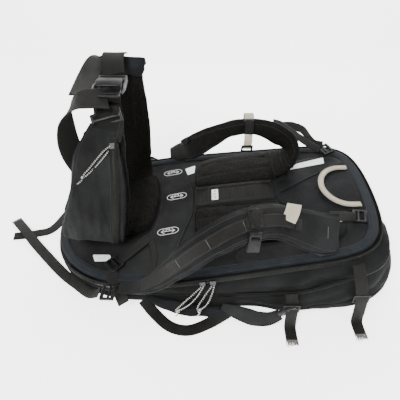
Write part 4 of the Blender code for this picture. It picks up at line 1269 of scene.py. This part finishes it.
def near_wing():
    body = "near_hip_wing"
    pad = pad_piece(
        "near_wing_pad", WING, MESH, body, "mesh_fabric", "near_hip_pad", lambda co: co.z < 0.104, 0.004,
        channels=(-0.18, 0.18), sides=(-1,),
    )
    edging("near_wing_binding", WING, pad, 0.003, SMOOTH, body, "strap_fabric")
    pocket = skin("hip_pocket_bag", POCKET.rings(pad_section(36, 4.5)), SLATE)
    puffed(pocket, lambda co: False, 0.005)

    def outer(co):
        rim = max(0.0, min(1.0, (co.z - 0.105) / 0.05)) * max(0.0, 1.0 - (abs(co.x + 0.285) / 0.075) ** 4)
        return rim * min(1.0, abs(co.x + 0.241) / 0.024)

    groove(pocket, side_line(POCKET, 0.415, 0.001, 0.03, 0.95), 0.003, 0.0032)
    groove(pocket, side_line(POCKET, -0.4, 0.001, 0.03, 0.95), 0.0026, 0.0036)
    crumple(pocket, 0.0085, 11.0, (2.0, 0.8, 0.35), 9.0, True, outer)
    crumple(pocket, 0.0045, 22.0, (1.6, 0.8, 0.5), 4.0, False, outer)
    put(pocket, body, "strap_fabric", "hip_pocket")
    edging("pocket_piping", POCKET, pocket, 0.002, SMOOTH, body, "strap_fabric", 0.02, 0.98)
    line = hugged(side_line(POCKET, 0.33, 0.0, 0.06, 0.9), pocket, 0.0016)
    line = smooth_path(line[::4], 4)
    tape = Route(line, WING_SIDES, [0.0125] * 2, [0.0016] * 2, spans=1)
    put(skin("pocket_zip_tape", tape.rings(strap_section), ZIP_TAPE), body, "zip_tape", "hip_pocket_zip")
    lifted = [p + skin_up(pocket)(p) * 0.0012 for p in line]
    zip_teeth(
        "pocket_zip_teeth", lifted, Vector((1, 0.1, 0.08)), lambda p, a: skin_up(pocket)(p), 0.007, body,
        "zip_tape", 0.004,
    )
    welt = [p + Vector((0.0085, 0, 0)) + skin_up(pocket)(p) * 0.001 for p in line]
    tube("pocket_welt", hugged(welt, pocket, 0.0012), 0.0022, SLATE, body, "strap_fabric")
    inner = hugged([p - Vector((0.0088, 0, 0)) for p in line], pocket, 0.0008)
    stitches("pocket_zip_stitches", inner, skin_up(pocket), DARK_THREAD, body, "strap_fabric")
    seam = hugged(side_line(POCKET, -0.4, 0.0, 0.04, 0.94), pocket, 0.0006)
    stitches("pocket_seam_stitches", seam, skin_up(pocket), DARK_THREAD, body, "strap_fabric")
    tip = Route(
        [
            (-0.264, 0.004, 0.302), (-0.258, 0.024, 0.314), (-0.254, 0.044, 0.324), (-0.253, 0.06, 0.334),
            (-0.254, 0.068, 0.344), (-0.255, 0.072, 0.352),
        ],
        [(1, 0.2, 0.2)] * 2, [0.078, 0.074, 0.064, 0.054, 0.05, 0.05],
        [0.015, 0.014, 0.009, 0.004, 0.0024, 0.0024], [0.004, 0.002, 0.0, 0.0, 0.0, 0.0],
    )
    put(
        crumple(skin("wing_tip_cloth", tip.rings(pad_section(24, 3.0)), SLATE), 0.0016, 40.0, seed=3.0),
        body, "strap_fabric",
    )
    route_stitches(
        "wing_tip_stitches", tip, (-0.4, 0.4), 0.0006, DARK_THREAD, body, "strap_fabric", 0.1, 0.6,
    )
    strap(
        "glide_loop",
        [(-0.256, 0.052, 0.322), (-0.256, 0.043, 0.33), (-0.256, 0.047, 0.342), (-0.254, 0.058, 0.352)],
        [(1, 0.05, 0)] * 2, 0.046, 0.0022, BLACK_WEB, body, "webbing",
    )
    hardware("hip_tri_glide", body, PLASTIC)
    webbing = Route(
        [(-0.2545, 0.065, 0.356), (-0.2532, 0.0705, 0.365), (-0.253, 0.072, 0.374)],
        [(1, 0.16, 0.16), (1, 0.12, 0.08), (1, 0.08, 0)], [BELT] * 2, [WEB_THICKNESS] * 2,
    )
    obj = skin("near_belt_webbing", webbing.rings(strap_section), BLACK_WEB)
    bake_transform(obj)
    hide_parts("near_hip_webbing")
    round(webbing.length(), 3)
    tail = strap(
        "belt_tail_loop",
        [
            (-0.254, 0.056, 0.368), (-0.276, 0.046, 0.374), (-0.31, 0.034, 0.374), (-0.336, 0.026, 0.346),
            (-0.346, 0.024, 0.3), (-0.346, 0.026, 0.25), (-0.338, 0.032, 0.205),
        ],
        [(0, 0.8, 0.3), (-0.1, 0.8, 0.3), (0.1, 0.9, 0.2), (0.5, 0.8, 0.2), (0.8, 0.6, 0), (0.8, 0.6, 0)],
        BELT, 0.0022, BLACK_WEB, body, "webbing", ["hip_belt_tail"], wave=0.0025,
    )
    route_stitches("belt_tail_stitches", tail, (-0.44, 0.44), 0.0002, DARK_THREAD, body, "webbing")
    root = Route(
        [
            (-0.288, -0.034, panel_z(-0.288) + 0.004), (-0.29, -0.052, panel_z(-0.29) + 0.01),
            (-0.293, -0.068, 0.088), (-0.295, -0.076, 0.104),
        ],
        [(1, 0, 0)] * 2, [0.118, 0.124, 0.13, 0.132], [0.006, 0.01, 0.013, 0.014],
    )
    obj = skin("near_wing_root", root.rings(pad_section(20)), SMOOTH)
    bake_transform(obj)


def buckle_cover():
    """The buckle's domed top, over the tray, with its side wings in paler plastic."""
    rings = []
    for k in range(13):
        t = k / 12
        y = 0.074 + 0.034 * t
        half = 0.0285 - 0.004 * (2 * t - 1) ** 2
        bulge = 0.0035 * math.sin(math.pi * t)
        ring = []
        for j in range(20):
            a = 2 * math.pi * j / 20
            c, w = math.cos(a), math.sin(a)
            x = half * math.copysign(abs(c) ** 0.5, c)
            ring.append(
                Vector(
                    (
                        -0.252 + x, y,
                        0.3865 + bulge + 0.0022 * math.copysign(abs(w) ** 0.6, w) - 0.05 * abs(x) ** 1.4,
                    )
                )
            )
        rings.append(ring)
    put(skin("buckle_top", rings, PLASTIC), "far_hip_wing", "plastic")
    for k, x in enumerate((-0.222, -0.282)):
        side = Vector((1, 0, 0)) if x > -0.25 else Vector((-1, 0, 0))
        wing = smooth_path(
            [
                Vector((x, 0.06, 0.378)), Vector((x, 0.07, 0.381)) + side * 0.003,
                Vector((x, 0.084, 0.382)) + side * 0.002, Vector((x, 0.098, 0.38)),
            ],
            4,
        )
        tube(f"buckle_side_{k}", wing, 0.0026, PALE_PLASTIC, "far_hip_wing", "plastic")


def painted_shadow_patch():
    """Painted shadow: a near-black patch on the panel's edge, under the near strap's arch, where shade
    falls.
    """
    corners = [
        (0.02, -0.186), (0.205, -0.18), (0.226, -0.15), (0.16, -0.128), (0.04, -0.128), (0.01, -0.16),
    ]
    outline = resampled(rounded(corners, 0.015), 0.006)
    rings = [[Vector((p.x, p.y, panel_z(p.x) + rise)) for p in outline] for rise in (0.0008, 0.0016)]
    put(skin("painted_shadow_patch", rings, PAINTED_SHADOW_BLACK), "pack", "shell_fabric")


def far_wing():
    body = "far_hip_wing"
    line = [
        (-0.275, 0.16, 0.1), (-0.266, 0.18, 0.15), (-0.26, 0.184, 0.22), (-0.258, 0.186, 0.29),
        (-0.25, 0.194, 0.35), (-0.244, 0.2, 0.384),
    ]
    route = Route(
        line, [(1, 0, 0)] * 2, [0.14, 0.152, 0.148, 0.142, 0.118, 0.1],
        [0.016, 0.02, 0.02, 0.02, 0.014, 0.01],
    )
    pad = pad_piece(
        "far_wing_pad", route, MESH, body, "mesh_fabric", "far_hip_pad", lambda co: co.z < 0.112, 0.005,
        channels=(-0.16, 0.2),
    )
    edging("far_wing_binding", route, pad, 0.003, SMOOTH, body, "strap_fabric")
    root = Route(
        [
            (-0.266, 0.078, panel_z(-0.27) + 0.019), (-0.267, 0.108, panel_z(-0.27) + 0.025),
            (-0.268, 0.136, 0.106), (-0.27, 0.153, 0.132), (-0.268, 0.168, 0.168), (-0.264, 0.179, 0.208),
            (-0.261, 0.185, 0.242),
        ],
        [(1, 0, 0)] * 2, [0.15, 0.158, 0.158, 0.156, 0.152, 0.149, 0.144],
        [0.01, 0.022, 0.028, 0.028, 0.026, 0.022, 0.014],
    )
    obj = skin("far_wing_root", root.rings(pad_section(24)), MESH)
    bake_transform(obj)
    rings = []
    for k in range(25):
        t = k / 24
        x = -0.3 + 0.112 * t
        sag = 0.004 * math.sin(7.0 * t) - 0.01 * (2 * t - 1) ** 2
        drop = 0.006 * math.sin(11.0 * t + 1.0)
        ends = 0.02 * abs(2 * t - 1) ** 5
        profile = [
            (0.181, 0.354 + drop + ends), (0.1835, 0.371 + 0.6 * ends), (0.188, 0.386 + sag),
            (0.198, 0.3975 + sag), (0.208, 0.391 + sag), (0.2125, 0.372), (0.2145, 0.348 - drop + ends),
        ]
        outer = smooth_path([(x, y, z) for y, z in profile], 4)
        inner = [Vector((p.x, 0.1985 + (p.y - 0.1985) * 0.86, p.z - 0.002)) for p in outer]
        rings.append(outer + inner[::-1])
    cap = crumple(skin("far_wing_cap", rings, SMOOTH), 0.0016, 22.0, seed=11.0)
    put(cap, body, "strap_fabric")
    strap(
        "far_belt_webbing",
        [(-0.25, 0.204, 0.397), (-0.254, 0.188, 0.406), (-0.256, 0.164, 0.398), (-0.252, 0.14, 0.379)],
        [(1, 0, 0)] * 2, BELT, WEB_THICKNESS, BLACK_WEB, body, "webbing", ["far_hip_webbing"],
    )
    band = strap(
        "far_belt_band",
        [
            (-0.27, 0.206, 0.388), (-0.29, 0.19, 0.39), (-0.305, 0.15, 0.379), (-0.31, 0.105, 0.373),
            (-0.311, 0.066, 0.37),
        ],
        [(1, 0.2, 0), (1, 0.3, 0), (1, 0.15, 0), (1, 0.05, 0), (1, 0, 0)], BELT, 0.0024, BLACK_WEB, body,
        "webbing", wave=0.002,
    )
    route_stitches(
        "far_band_stitches", band, (-0.43, 0.43), 0.0002, DARK_THREAD, body, "webbing", 0.1, 0.98,
    )
    hardware("hip_buckle_female", body, PLASTIC, 0.0016)
    hardware("hip_buckle_male", "buckle_prongs", PLASTIC, 0.0012)
    buckle_cover()


# The shoulder straps.

NEAR_STRAP = Route(
    [
        (0.244, -0.145, 0.176), (0.208, -0.154, 0.18), (0.156, -0.155, 0.196), (0.083, -0.164, 0.233),
        (0.011, -0.204, 0.259), (-0.044, -0.231, 0.251), (-0.09, -0.24, 0.213), (-0.14, -0.236, 0.148),
        (-0.188, -0.228, 0.104), (-0.23, -0.216, 0.084),
    ],
    [
        (0.0, 0.84, 0.52), (-0.1, 0.84, 0.52), (-0.2, 0.84, 0.48), (-0.1, 0.85, 0.52), (-0.3, 0.75, 0.5),
        (-0.3, 0.6, 0.6), (-0.3, 0.5, 0.6), (0.0, 0.8, 0.5), (0.2, 0.9, 0.2), (0.2, 0.95, 0.1),
    ],
    [0.08, 0.088, 0.083, 0.066, 0.058, 0.056, 0.05, 0.042, 0.03, WEB],
    [0.014, 0.019, 0.02, 0.02, 0.019, 0.017, 0.015, 0.01, 0.004, WEB_THICKNESS],
)
FAR_STRAP = Route(
    [
        (0.164, 0.122, 0.152), (0.166, 0.122, 0.186), (0.143, 0.124, 0.218), (0.104, 0.124, 0.244),
        (0.055, 0.122, 0.255), (0.004, 0.12, 0.246), (-0.04, 0.122, 0.22), (-0.084, 0.141, 0.176),
        (-0.113, 0.184, 0.13), (-0.146, 0.228, 0.088),
    ],
    [
        (0, -1, 0), (0.3, -0.8, 0.4), (0.4, -0.5, 0.8), (0.2, -0.3, 0.9), (0, -0.25, 0.97),
        (-0.3, -0.2, 0.9), (-0.5, 0.1, 0.8), (-0.4, 0.4, 0.75), (-0.2, 0.6, 0.7), (-0.1, 0.7, 0.7),
    ],
    [0.04, 0.072, 0.072, 0.056, 0.046, 0.046, 0.052, 0.056, 0.048, 0.034],
    [0.012, 0.018, 0.02, 0.02, 0.02, 0.02, 0.019, 0.016, 0.01, 0.004],
)


def face_strip(name, route, width, start, end, above, surface, body, slot, node=None, side=1, thick=0.0016):
    """Webbing that lies along a strap's face."""
    rings = []
    for k in range(97):
        share = start + (end - start) * k / 96
        _, across, _, up = (between([f[i] for f in route.frames], share) for i in range(4))
        middle = route.at(share, 0.0, above + thick / 2, side)
        rings.append([middle + across * (u * width) + up * (v * thick) for u, v in strap_section(share)])
    obj = skin(name, rings, surface)
    put(obj, body, slot, *([node] if node else []))
    length = length_of([r[0] for r in rings])
    return obj


def near_strap():
    body = "near_shoulder_strap"
    pad = skin("near_strap_padding", NEAR_STRAP.rings(pad_section(28, 3.6)), SLATE)
    for v in pad.data.vertices:
        root = max(0.0, min(1.0, (v.co.x - 0.16) / 0.07))
        v.co.x -= root * (0.01 + 0.4 * max(0.0, -0.118 - v.co.y))
    NEAR_STRAP.owner = "near_strap_padding"
    crumple(pad, 0.0022, 20.0, (0.8, 1.0, 1.0), 3.0, True, lambda co: 0.15 if co.x < -0.12 else 1.0)
    crumple(pad, 0.0012, 48.0, seed=7.0, mask=lambda co: 0.1 if co.x < -0.15 else 1.0)
    put(pad, body, "strap_fabric", "near_strap_pad")
    edging("near_strap_edge", NEAR_STRAP, pad, 0.0021, SMOOTH, body, "strap_fabric", 0.0, 0.84)
    for label, u in (("a", 0.41), ("b", -0.41)):
        row = hugged(side_line(NEAR_STRAP, u, 0.0, 0.01, 0.8), pad, 0.0005)
        stitches(f"near_strap_stitches_{label}", row, skin_up(pad), DARK_THREAD, body, "strap_fabric")
    face_strip(
        "near_strap_ribbed", NEAR_STRAP, WEB, 0.26, 0.86, 0.0014, BLACK_WEB, body, "webbing",
        "near_strap_webbing",
    )
    route_stitches(
        "near_ribbed_stitches", NEAR_STRAP, (-0.17, 0.17), 0.0032, DARK_THREAD, body, "webbing", 0.28, 0.72,
    )
    for k, share in enumerate((0.15, 0.44, 0.56, 0.68)):
        bar = [NEAR_STRAP.at(share, u / 20 - 0.12, 0.0034) for u in range(6)]
        stitches(f"near_bar_tack_{k}", bar, NEAR_STRAP.up(share), THREAD, body, "webbing", 0.002)
    hardware("near_sternum_slider", body, PLASTIC, 0.0007)
    strap(
        "near_adjuster_wrap",
        [(0.04, -0.179, 0.283), (0.037, -0.19, 0.28), (0.034, -0.202, 0.274), (0.032, -0.212, 0.265)],
        [(1, 0.25, 0.1)] * 2, 0.026, 0.0026, BLACK_WEB, body, "webbing",
    )
    hardware("near_sternum_buckle", body, PLASTIC, 0.0012)
    tab = strap(
        "near_tan_tab", [(0.123, -0.133, 0.248), (0.117, -0.15, 0.244), (0.108, -0.166, 0.236)],
        [(0.9, 0.1, 0.2)] * 2, 0.028, WEB_THICKNESS, TAN_WEB, body, "tan_webbing", ["near_webbing_tab"],
    )
    strap(
        "near_tan_tab_under", [(0.124, -0.131, 0.246), (0.119, -0.146, 0.238), (0.11, -0.16, 0.231)],
        [(0.9, 0.1, 0.2)] * 2, 0.027, 0.0016, TAN_WEB, body, "tan_webbing",
    )
    route_stitches("near_tab_stitches", tab, (-0.4, 0.4), 0.0002, THREAD, body, "tan_webbing")
    ring = []
    for k in range(13):
        a = math.pi * k / 12
        ring.append(
            Vector((0.112 - 0.012 * math.cos(a), -0.162 - 0.02 * math.sin(a), 0.234 - 0.008 * math.sin(a)))
        )
    tube("near_tab_cord", smooth_path(ring, 3), 0.0014, SMOOTH, body, "webbing")


def far_strap():
    body = "far_shoulder_strap"
    pad = skin("far_strap_padding", FAR_STRAP.rings(pad_section(28, 3.4)), MESH)
    FAR_STRAP.owner = "far_strap_padding"
    mesh = pad.data
    for v in mesh.vertices:
        bend = max(0.0, min(1.0, (v.co.x - 0.105) / 0.03))
        v.co += v.normal * (0.002 * bend * math.sin(v.co.z * 620.0 + v.co.y * 60.0))
    crumple(pad, 0.0018, 24.0, seed=3.0)
    put(pad, body, "mesh_fabric", "far_strap_pad")
    edging("far_strap_edge", FAR_STRAP, pad, 0.0024, SMOOTH, body, "strap_fabric", 0.02, 0.86)
    for label, u in (("a", 0.4), ("b", -0.4)):
        row = hugged(side_line(FAR_STRAP, u, 0.0, 0.04, 0.82), pad, 0.0004)
        stitches(f"far_strap_stitches_{label}", row, skin_up(pad), DARK_THREAD, body, "strap_fabric")
    face_strip("far_strap_ribbed", FAR_STRAP, WEB, 0.1, 0.9, 0.0014, BLACK_WEB, body, "webbing", None, -1)
    strap(
        "far_tan_tab",
        [(0.054, 0.136, 0.264), (0.054, 0.137, 0.28), (0.054, 0.124, 0.288), (0.055, 0.112, 0.28)],
        [(1, 0, 0)] * 2, 0.022, WEB_THICKNESS, TAN_WEB, body, "tan_webbing", ["far_webbing_tab"],
    )
    strap(
        "far_tan_strap",
        [(0.055, 0.105, 0.242), (0.055, 0.099, 0.23), (0.054, 0.0965, 0.218), (0.053, 0.096, 0.208)],
        [(1, 0.1, 0)] * 2, 0.02, WEB_THICKNESS, TAN_WEB, body, "tan_webbing", ["far_sternum_strap"],
    )
    strap(
        "far_black_front",
        [(0.055, 0.112, 0.283), (0.055, 0.104, 0.272), (0.055, 0.101, 0.258), (0.055, 0.104, 0.244)],
        [(1, 0, 0)] * 2, 0.02, 0.0018, BLACK_WEB, body, "webbing",
    )
    hardware("far_sternum_slider", body, PLASTIC, 0.0007)
    spots = [(Vector((0.053, 0.107, 0.28)), Vector((1, 0, 0)), Vector((0, -1, 0.1)))]
    bars("far_tab_keeper", spots, (0.024, 0.008, 0.005), PLASTIC, body, "plastic")
    keeper = FAR_STRAP.at(0.765, 0.42, 0.002, 1)
    bars(
        "far_strap_adjuster", [(keeper, Vector((-0.6, 0.4, -0.7)), FAR_STRAP.up(0.765))],
        (0.026, 0.015, 0.012), PLASTIC, body, "plastic",
    )


def far_strap_root():
    """The ruched mesh that joins the far cushion's end to the strap as it bends up."""
    root = Route(
        [
            (0.118, 0.118, panel_z(0.118) + 0.01), (0.145, 0.122, panel_z(0.145) + 0.014),
            (0.163, 0.122, 0.158), (0.168, 0.122, 0.178),
        ],
        [(0, -1, 0), (0, -1, 0), (0.1, -1, 0.1), (0.2, -0.9, 0.3)], [0.104, 0.094, 0.08, 0.074],
        [0.014, 0.019, 0.02, 0.018], spans=14,
    )
    obj = skin("far_strap_root", root.rings(pad_section(24)), MESH)
    for v in obj.data.vertices:
        v.co += v.normal * (0.0018 * math.sin(v.co.z * 560.0 + v.co.x * 300.0))
    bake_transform(obj)


# The other straps.


def lifters():
    lift = Route(
        [
            (0.116, 0.132, 0.258), (0.138, 0.14, 0.246), (0.168, 0.146, 0.222), (0.206, 0.15, 0.192),
            (0.232, 0.149, 0.175), (0.25, 0.148, 0.1655),
        ],
        [(0.3, 0.72, 0.38)] * 2, [0.02] * 2, [WEB_THICKNESS] * 2,
    )
    obj = skin("far_lifter_webbing", lift.rings(strap_section), BLACK_WEB)
    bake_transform(obj)
    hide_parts("lifter_strap_far")
    round(lift.length(), 3)
    loose = Route(
        [
            (0.262, 0.164, 0.168), (0.24, 0.169, 0.17), (0.222, 0.172, 0.187), (0.203, 0.172, 0.21),
            (0.172, 0.17, 0.224), (0.142, 0.16, 0.23),
        ],
        [(0.4, 0.6, 0.5)] * 2, [0.02] * 2, [0.0018] * 2,
    )
    obj = skin("far_lifter_tail", loose.rings(strap_section), BLACK_WEB)
    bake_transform(obj)
    round(loose.length(), 3)
    near = Route(
        [(0.205, -0.122, 0.202), (0.228, -0.114, 0.193), (0.252, -0.103, 0.181), (0.277, -0.092, 0.168)],
        [(0.1, 0.84, 0.52)] * 2, [0.02] * 2, [WEB_THICKNESS] * 2,
    )
    obj = skin("near_lifter_webbing", near.rings(strap_section), BLACK_WEB)
    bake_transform(obj)
    round(near.length(), 3)
    hardware("lifter_lock_far", "lifter_lock_far_body", PLASTIC)
    hardware("lifter_lock_near", "lifter_lock_near_body", PLASTIC)


def lower_straps():
    hardware("lower_lock_near", "lower_lock_near_body", PLASTIC)
    hardware("lower_lock_far", "lower_lock_far_body", PLASTIC)
    hardware("hip_stabiliser_lock", "stabiliser_lock_body", PLASTIC)
    tail = strap(
        "near_tail",
        [
            (-0.273, -0.222, 0.0755), (-0.298, -0.21, 0.05), (-0.34, -0.17, 0.02), (-0.394, -0.124, 0.008),
            (-0.475, -0.045, 0.008), (-0.52, 0.004, 0.008), (-0.557, 0.044, 0.0022),
        ],
        [(0.1, 0.9, 0.0), (0.5, 0.8, -0.1), (0.7, 0.7, 0), (0.7, 0.7, 0), (0.7, 0.6, 0), (0.7, 0.6, 0)],
        WEB, WEB_THICKNESS, BLACK_WEB, "pack", "webbing", ["strap_tail_near"],
    )
    tuft("near_tail_end", tail, 1.0, FRAYED, "pack", "tan_webbing", 0.01)
    strap(
        "far_tail",
        [
            (-0.216, 0.246, 0.044), (-0.236, 0.256, 0.022), (-0.272, 0.258, 0.006), (-0.34, 0.21, 0.0024),
            (-0.41, 0.11, 0.0022), (-0.45, 0.02, 0.0022), (-0.49, 0.0, 0.0022), (-0.548, -0.01, 0.0022),
        ],
        [
            (0.5, 0.85, 0), (0.2, 1, 0), (-0.3, 0.95, 0), (-0.7, 0.7, 0), (-0.86, 0.5, 0), (-0.68, 0.72, 0),
            (-0.3, 0.95, 0), (-0.17, 0.98, 0),
        ],
        WEB, WEB_THICKNESS, BLACK_WEB, "pack", "webbing", ["strap_tail_far"],
    )
    strap(
        "stabiliser_webbing",
        [(-0.18, -0.084, 0.0876), (-0.2, -0.106, 0.086), (-0.221, -0.126, 0.0822), (-0.24, -0.143, 0.08)],
        [(0.7, -0.7, 0.105)] * 2, WEB, WEB_THICKNESS, BLACK_WEB, "pack", "webbing", ["hip_stabiliser_near"],
    )
    strap(
        "stabiliser_tail",
        [
            (-0.256, -0.166, 0.078), (-0.25, -0.186, 0.076), (-0.24, -0.204, 0.07), (-0.23, -0.22, 0.052),
            (-0.226, -0.226, 0.036),
        ],
        [(1, -0.3, 0.1), (1, 0.1, 0.1), (0.9, 0.4, 0), (0.8, 0.6, 0), (0.8, 0.6, 0)], WEB, WEB_THICKNESS,
        BLACK_WEB, "pack", "webbing", wave=0.002,
    )
    strap(
        "flap_strap",
        [
            (-0.176, -0.088, 0.0885), (-0.166, -0.12, 0.089), (-0.161, -0.15, 0.0895),
            (-0.166, -0.18, 0.088), (-0.176, -0.202, 0.084), (-0.184, -0.216, 0.07),
        ],
        [(1, 0.2, 0.15), (1, 0.2, 0.15), (1, 0, 0.15), (1, -0.25, 0.1), (1, -0.3, 0.1)], 0.014, 0.0018,
        BLACK_WEB, "pack", "webbing",
    )


def side_straps():
    places = {
        "low": [
            (0.128, -0.234, 0.088), (0.129, -0.246, 0.072), (0.13, -0.256, 0.05), (0.131, -0.26, 0.028),
            (0.132, -0.265, 0.007), (0.1325, -0.28, 0.0022), (0.1326, -0.292, 0.0022),
        ],
        "top": [
            (0.262, -0.196, 0.138), (0.268, -0.224, 0.108), (0.273, -0.241, 0.076), (0.277, -0.246, 0.038),
            (0.279, -0.251, 0.007), (0.28, -0.262, 0.0022), (0.281, -0.279, 0.0022),
        ],
    }
    for name, points in places.items():
        route = strap(
            f"side_strap_{name}", points, [(1, 0, 0)] * 2, WEB, WEB_THICKNESS, BLACK_WEB, "pack", "webbing",
            [f"compression_strap_{name}"],
        )
        tuft(f"side_strap_end_{name}", route, 1.0, FRAYED, "pack", "webbing", 0.017)
        hardware(f"tri_glide_{name}", "pack", PLASTIC, 0.0008)
    strap(
        "floor_loop",
        [
            (-0.186, -0.212, 0.03), (-0.16, -0.234, 0.006), (-0.126, -0.262, 0.0024),
            (-0.087, -0.271, 0.0024), (-0.046, -0.258, 0.0056), (0.0, -0.242, 0.03),
        ],
        [(0.8, 0.6, 0), (0.7, 0.7, 0), (0.3, 0.9, 0), (-0.1, 0.95, 0), (-0.4, 0.9, 0.05), (-0.3, 0.6, 0.7)],
        WEB, WEB_THICKNESS, BLACK_WEB, "pack", "webbing", ["side_webbing_loop"],
    )
    wing = Route(
        [
            (-0.014, -0.236, 0.044), (0.016, -0.247, 0.038), (0.05, -0.256, 0.031), (0.082, -0.259, 0.03),
            (0.108, -0.254, 0.04),
        ],
        [(0, 0.5, 1), (0, 0.45, 1), (0, 0.4, 1), (0, 0.4, 1), (0, 0.4, 1)],
        [0.014, 0.032, 0.04, 0.034, 0.024], [0.003] * 2,
    )
    obj = crumple(skin("side_wing_cloth", wing.rings(strap_section), SLATE), 0.0018, 34.0, seed=5.0)
    put(obj, "pack", "strap_fabric", "side_wing")
    hem = [wing.at(k / 40, -0.5, -0.0015) for k in range(41)]
    tube("side_wing_hem", hem, 0.0016, SMOOTH, "pack", "strap_fabric")
    copied = bpy.data.objects["near_sternum_buckle_moulded"].copy()
    copied.data = copied.data.copy()
    copied.name = "side_release_buckle"
    bpy.context.collection.objects.link(copied)
    low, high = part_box("near_sternum_buckle")
    middle = (Vector(low) + Vector(high)) / 2
    turn = Matrix.Rotation(math.radians(62), 4, "Y") @ Matrix.Rotation(math.radians(12), 4, "X")
    copied.data.transform(Matrix.Translation((0.106, -0.26, 0.05)) @ turn @ Matrix.Translation(-middle))
    put(copied, "pack", "plastic")


def cover_roll():
    """A rain cover rolled up in its hem, half out of the near side's pocket."""
    rings = []
    path = smooth_path(
        [
            (-0.176, -0.196, 0.03), (-0.15, -0.211, 0.025), (-0.1, -0.224, 0.02), (-0.05, -0.232, 0.019),
            (-0.008, -0.236, 0.024), (0.016, -0.234, 0.032),
        ],
        10,
    )
    for i, place in enumerate(path):
        share = i / (len(path) - 1)
        along = (path[min(i + 1, len(path) - 1)] - path[max(i - 1, 0)]).normalized()
        across = along.cross(Vector((0, 0, 1))).normalized()
        up = across.cross(along)
        size = 0.0155 * (math.sin(math.pi * min(1.0, 0.06 + 0.9 * share)) ** 0.4)
        ring = []
        for k in range(28):
            a = 2 * math.pi * k / 28
            reach = size * (1 + 0.1 * math.sin(3 * a + 5 * share) + 0.06 * math.sin(7 * a - 9 * share))
            ring.append(place + across * (reach * math.cos(a)) + up * (0.82 * reach * math.sin(a)))
        rings.append(ring)
    obj = crumple(skin("rolled_cover", rings, SMOOTH), 0.003, 34.0, (0.5, 1, 1), 2.0, True)
    for v in obj.data.vertices:
        v.co.z = max(v.co.z, 0.0012)
    put(obj, "pack", "shell_fabric")


def haul_handle():
    """The webbing loop, with its edges rolled over a cord."""
    hinge = Vector((0.304, 0.018, panel_z(0.304) + 0.0035))
    arc = [math.radians(a) for a in range(-90, 91, 10)]
    points = [(0.0, -0.064)] + [
        (-0.018 - 0.057 * math.cos(a), 0.064 * math.sin(a))
        for a in arc
    ] + [(0.0, 0.064)]
    path = smooth_path([hinge + Vector((x, y, 0.03 * x + 0.00125)) for x, y in points], 4)
    rings = []
    for i, place in enumerate(path):
        along = (path[min(i + 1, len(path) - 1)] - path[max(i - 1, 0)]).normalized()
        across = along.cross(Vector((-0.03, 0, 1))).normalized()
        up = across.cross(along)
        rings.append([place + across * (u * 0.0135) + up * (v * 0.004) for u, v in strap_section(0)])
    obj = skin("haul_webbing", rings, TAN_WEB)
    put(obj, "haul_loop_body", "webbing", "haul_loop")
    round(length_of(path), 3)
    for label, u in (("a", 0.39), ("b", -0.39)):
        row = []
        for ring in rings:
            middle = sum(ring, Vector((0, 0, 0))) / len(ring)
            across = (ring[5] - ring[0]).normalized()
            row.append(middle + across * (u * 0.0135) + Vector((0, 0, 0.0022)))
        stitches(f"haul_stitches_{label}", row, Vector((0, 0, 1)), THREAD, "haul_loop_body", "webbing")


def zips_and_frame():
    for node, body in (
        ("main_zip_slider_a", "zip_slider_a"), ("main_zip_slider_b", "zip_slider_b"),
        ("pocket_zip_slider", "pocket_slider"),
    ):
        hardware(node, body, PALE_PLASTIC, 0.0006)
    for node, surface in (("frame_sheet", SHEETING), ("stay_near", ALUMINIUM), ("stay_far", ALUMINIUM)):
        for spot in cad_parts[node].material_slots:
            spot.material = surface


camera()
cords()
bag()
edge_zip()
panel()
pads()
spine()
flap()
patches()
yoke()
near_wing()
far_wing()
near_strap()
far_strap()
far_strap_root()
lifters()
lower_straps()
side_straps()
cover_roll()
haul_handle()
# A painted shadow on the panel under the near strap's arch.
painted_shadow_patch()
zips_and_frame()


# The surroundings: a white sheet that bends up behind, and three soft lights.

FLOOR_NEAR = -2.2
FLOOR_DEPTH = 4.6
FLOOR_WIDTH = 6.0
FLOOR_STEPS = 40
BEND_FROM = 0.95
SHEET_GLOW = 2.6
SKY_STRENGTH = 0.42
LIGHTS = (
    ("key", (-0.9, -1.5, 2.2), 0.9, 110),
    ("fill", (1.3, -1.0, 1.7), 1.2, 30),
    ("rim", (0.2, 1.5, 1.9), 1.2, 40),
)


def surroundings():
    made = bmesh.new()
    rows = []
    for j in range(FLOOR_STEPS + 1):
        y = FLOOR_NEAR + FLOOR_DEPTH * j / FLOOR_STEPS
        back = max(0.0, y - BEND_FROM)
        rise = 0.9 * back**1.6
        across = [FLOOR_WIDTH * i / FLOOR_STEPS - FLOOR_WIDTH / 2 for i in range(FLOOR_STEPS + 1)]
        rows.append([made.verts.new((x, y - 0.35 * back, rise)) for x in across])
    for j in range(FLOOR_STEPS):
        for i in range(FLOOR_STEPS):
            made.faces.new((rows[j][i], rows[j][i + 1], rows[j + 1][i + 1], rows[j + 1][i]))
    sheet = plain("sheet_cloth", (0.86, 0.86, 0.855), (0.92, 0.92, 0.915), 3.0, 0.004, 0.9)
    glow = sheet.node_tree.nodes["Principled BSDF"].inputs
    glow["Emission Color"].default_value = (1.0, 1.0, 0.99, 1.0)
    glow["Emission Strength"].default_value = SHEET_GLOW
    floor = mesh_piece("white_sheet", made, sheet)
    world = bpy.data.worlds.new("studio")
    bpy.context.scene.world = world
    world.use_nodes = True
    world.node_tree.nodes["Background"].inputs["Color"].default_value = (1.0, 1.0, 1.0, 1.0)
    world.node_tree.nodes["Background"].inputs["Strength"].default_value = SKY_STRENGTH
    for name, place, size, power in LIGHTS:
        data = bpy.data.lights.new(name, "AREA")
        data.energy = power
        data.size = size
        lamp = bpy.data.objects.new(name, data)
        lamp.location = place
        aim = Vector((0, 0, 0.08)) - Vector(place)
        lamp.rotation_euler = aim.to_track_quat("-Z", "Y").to_euler()
        bpy.context.collection.objects.link(lamp)


surroundings()
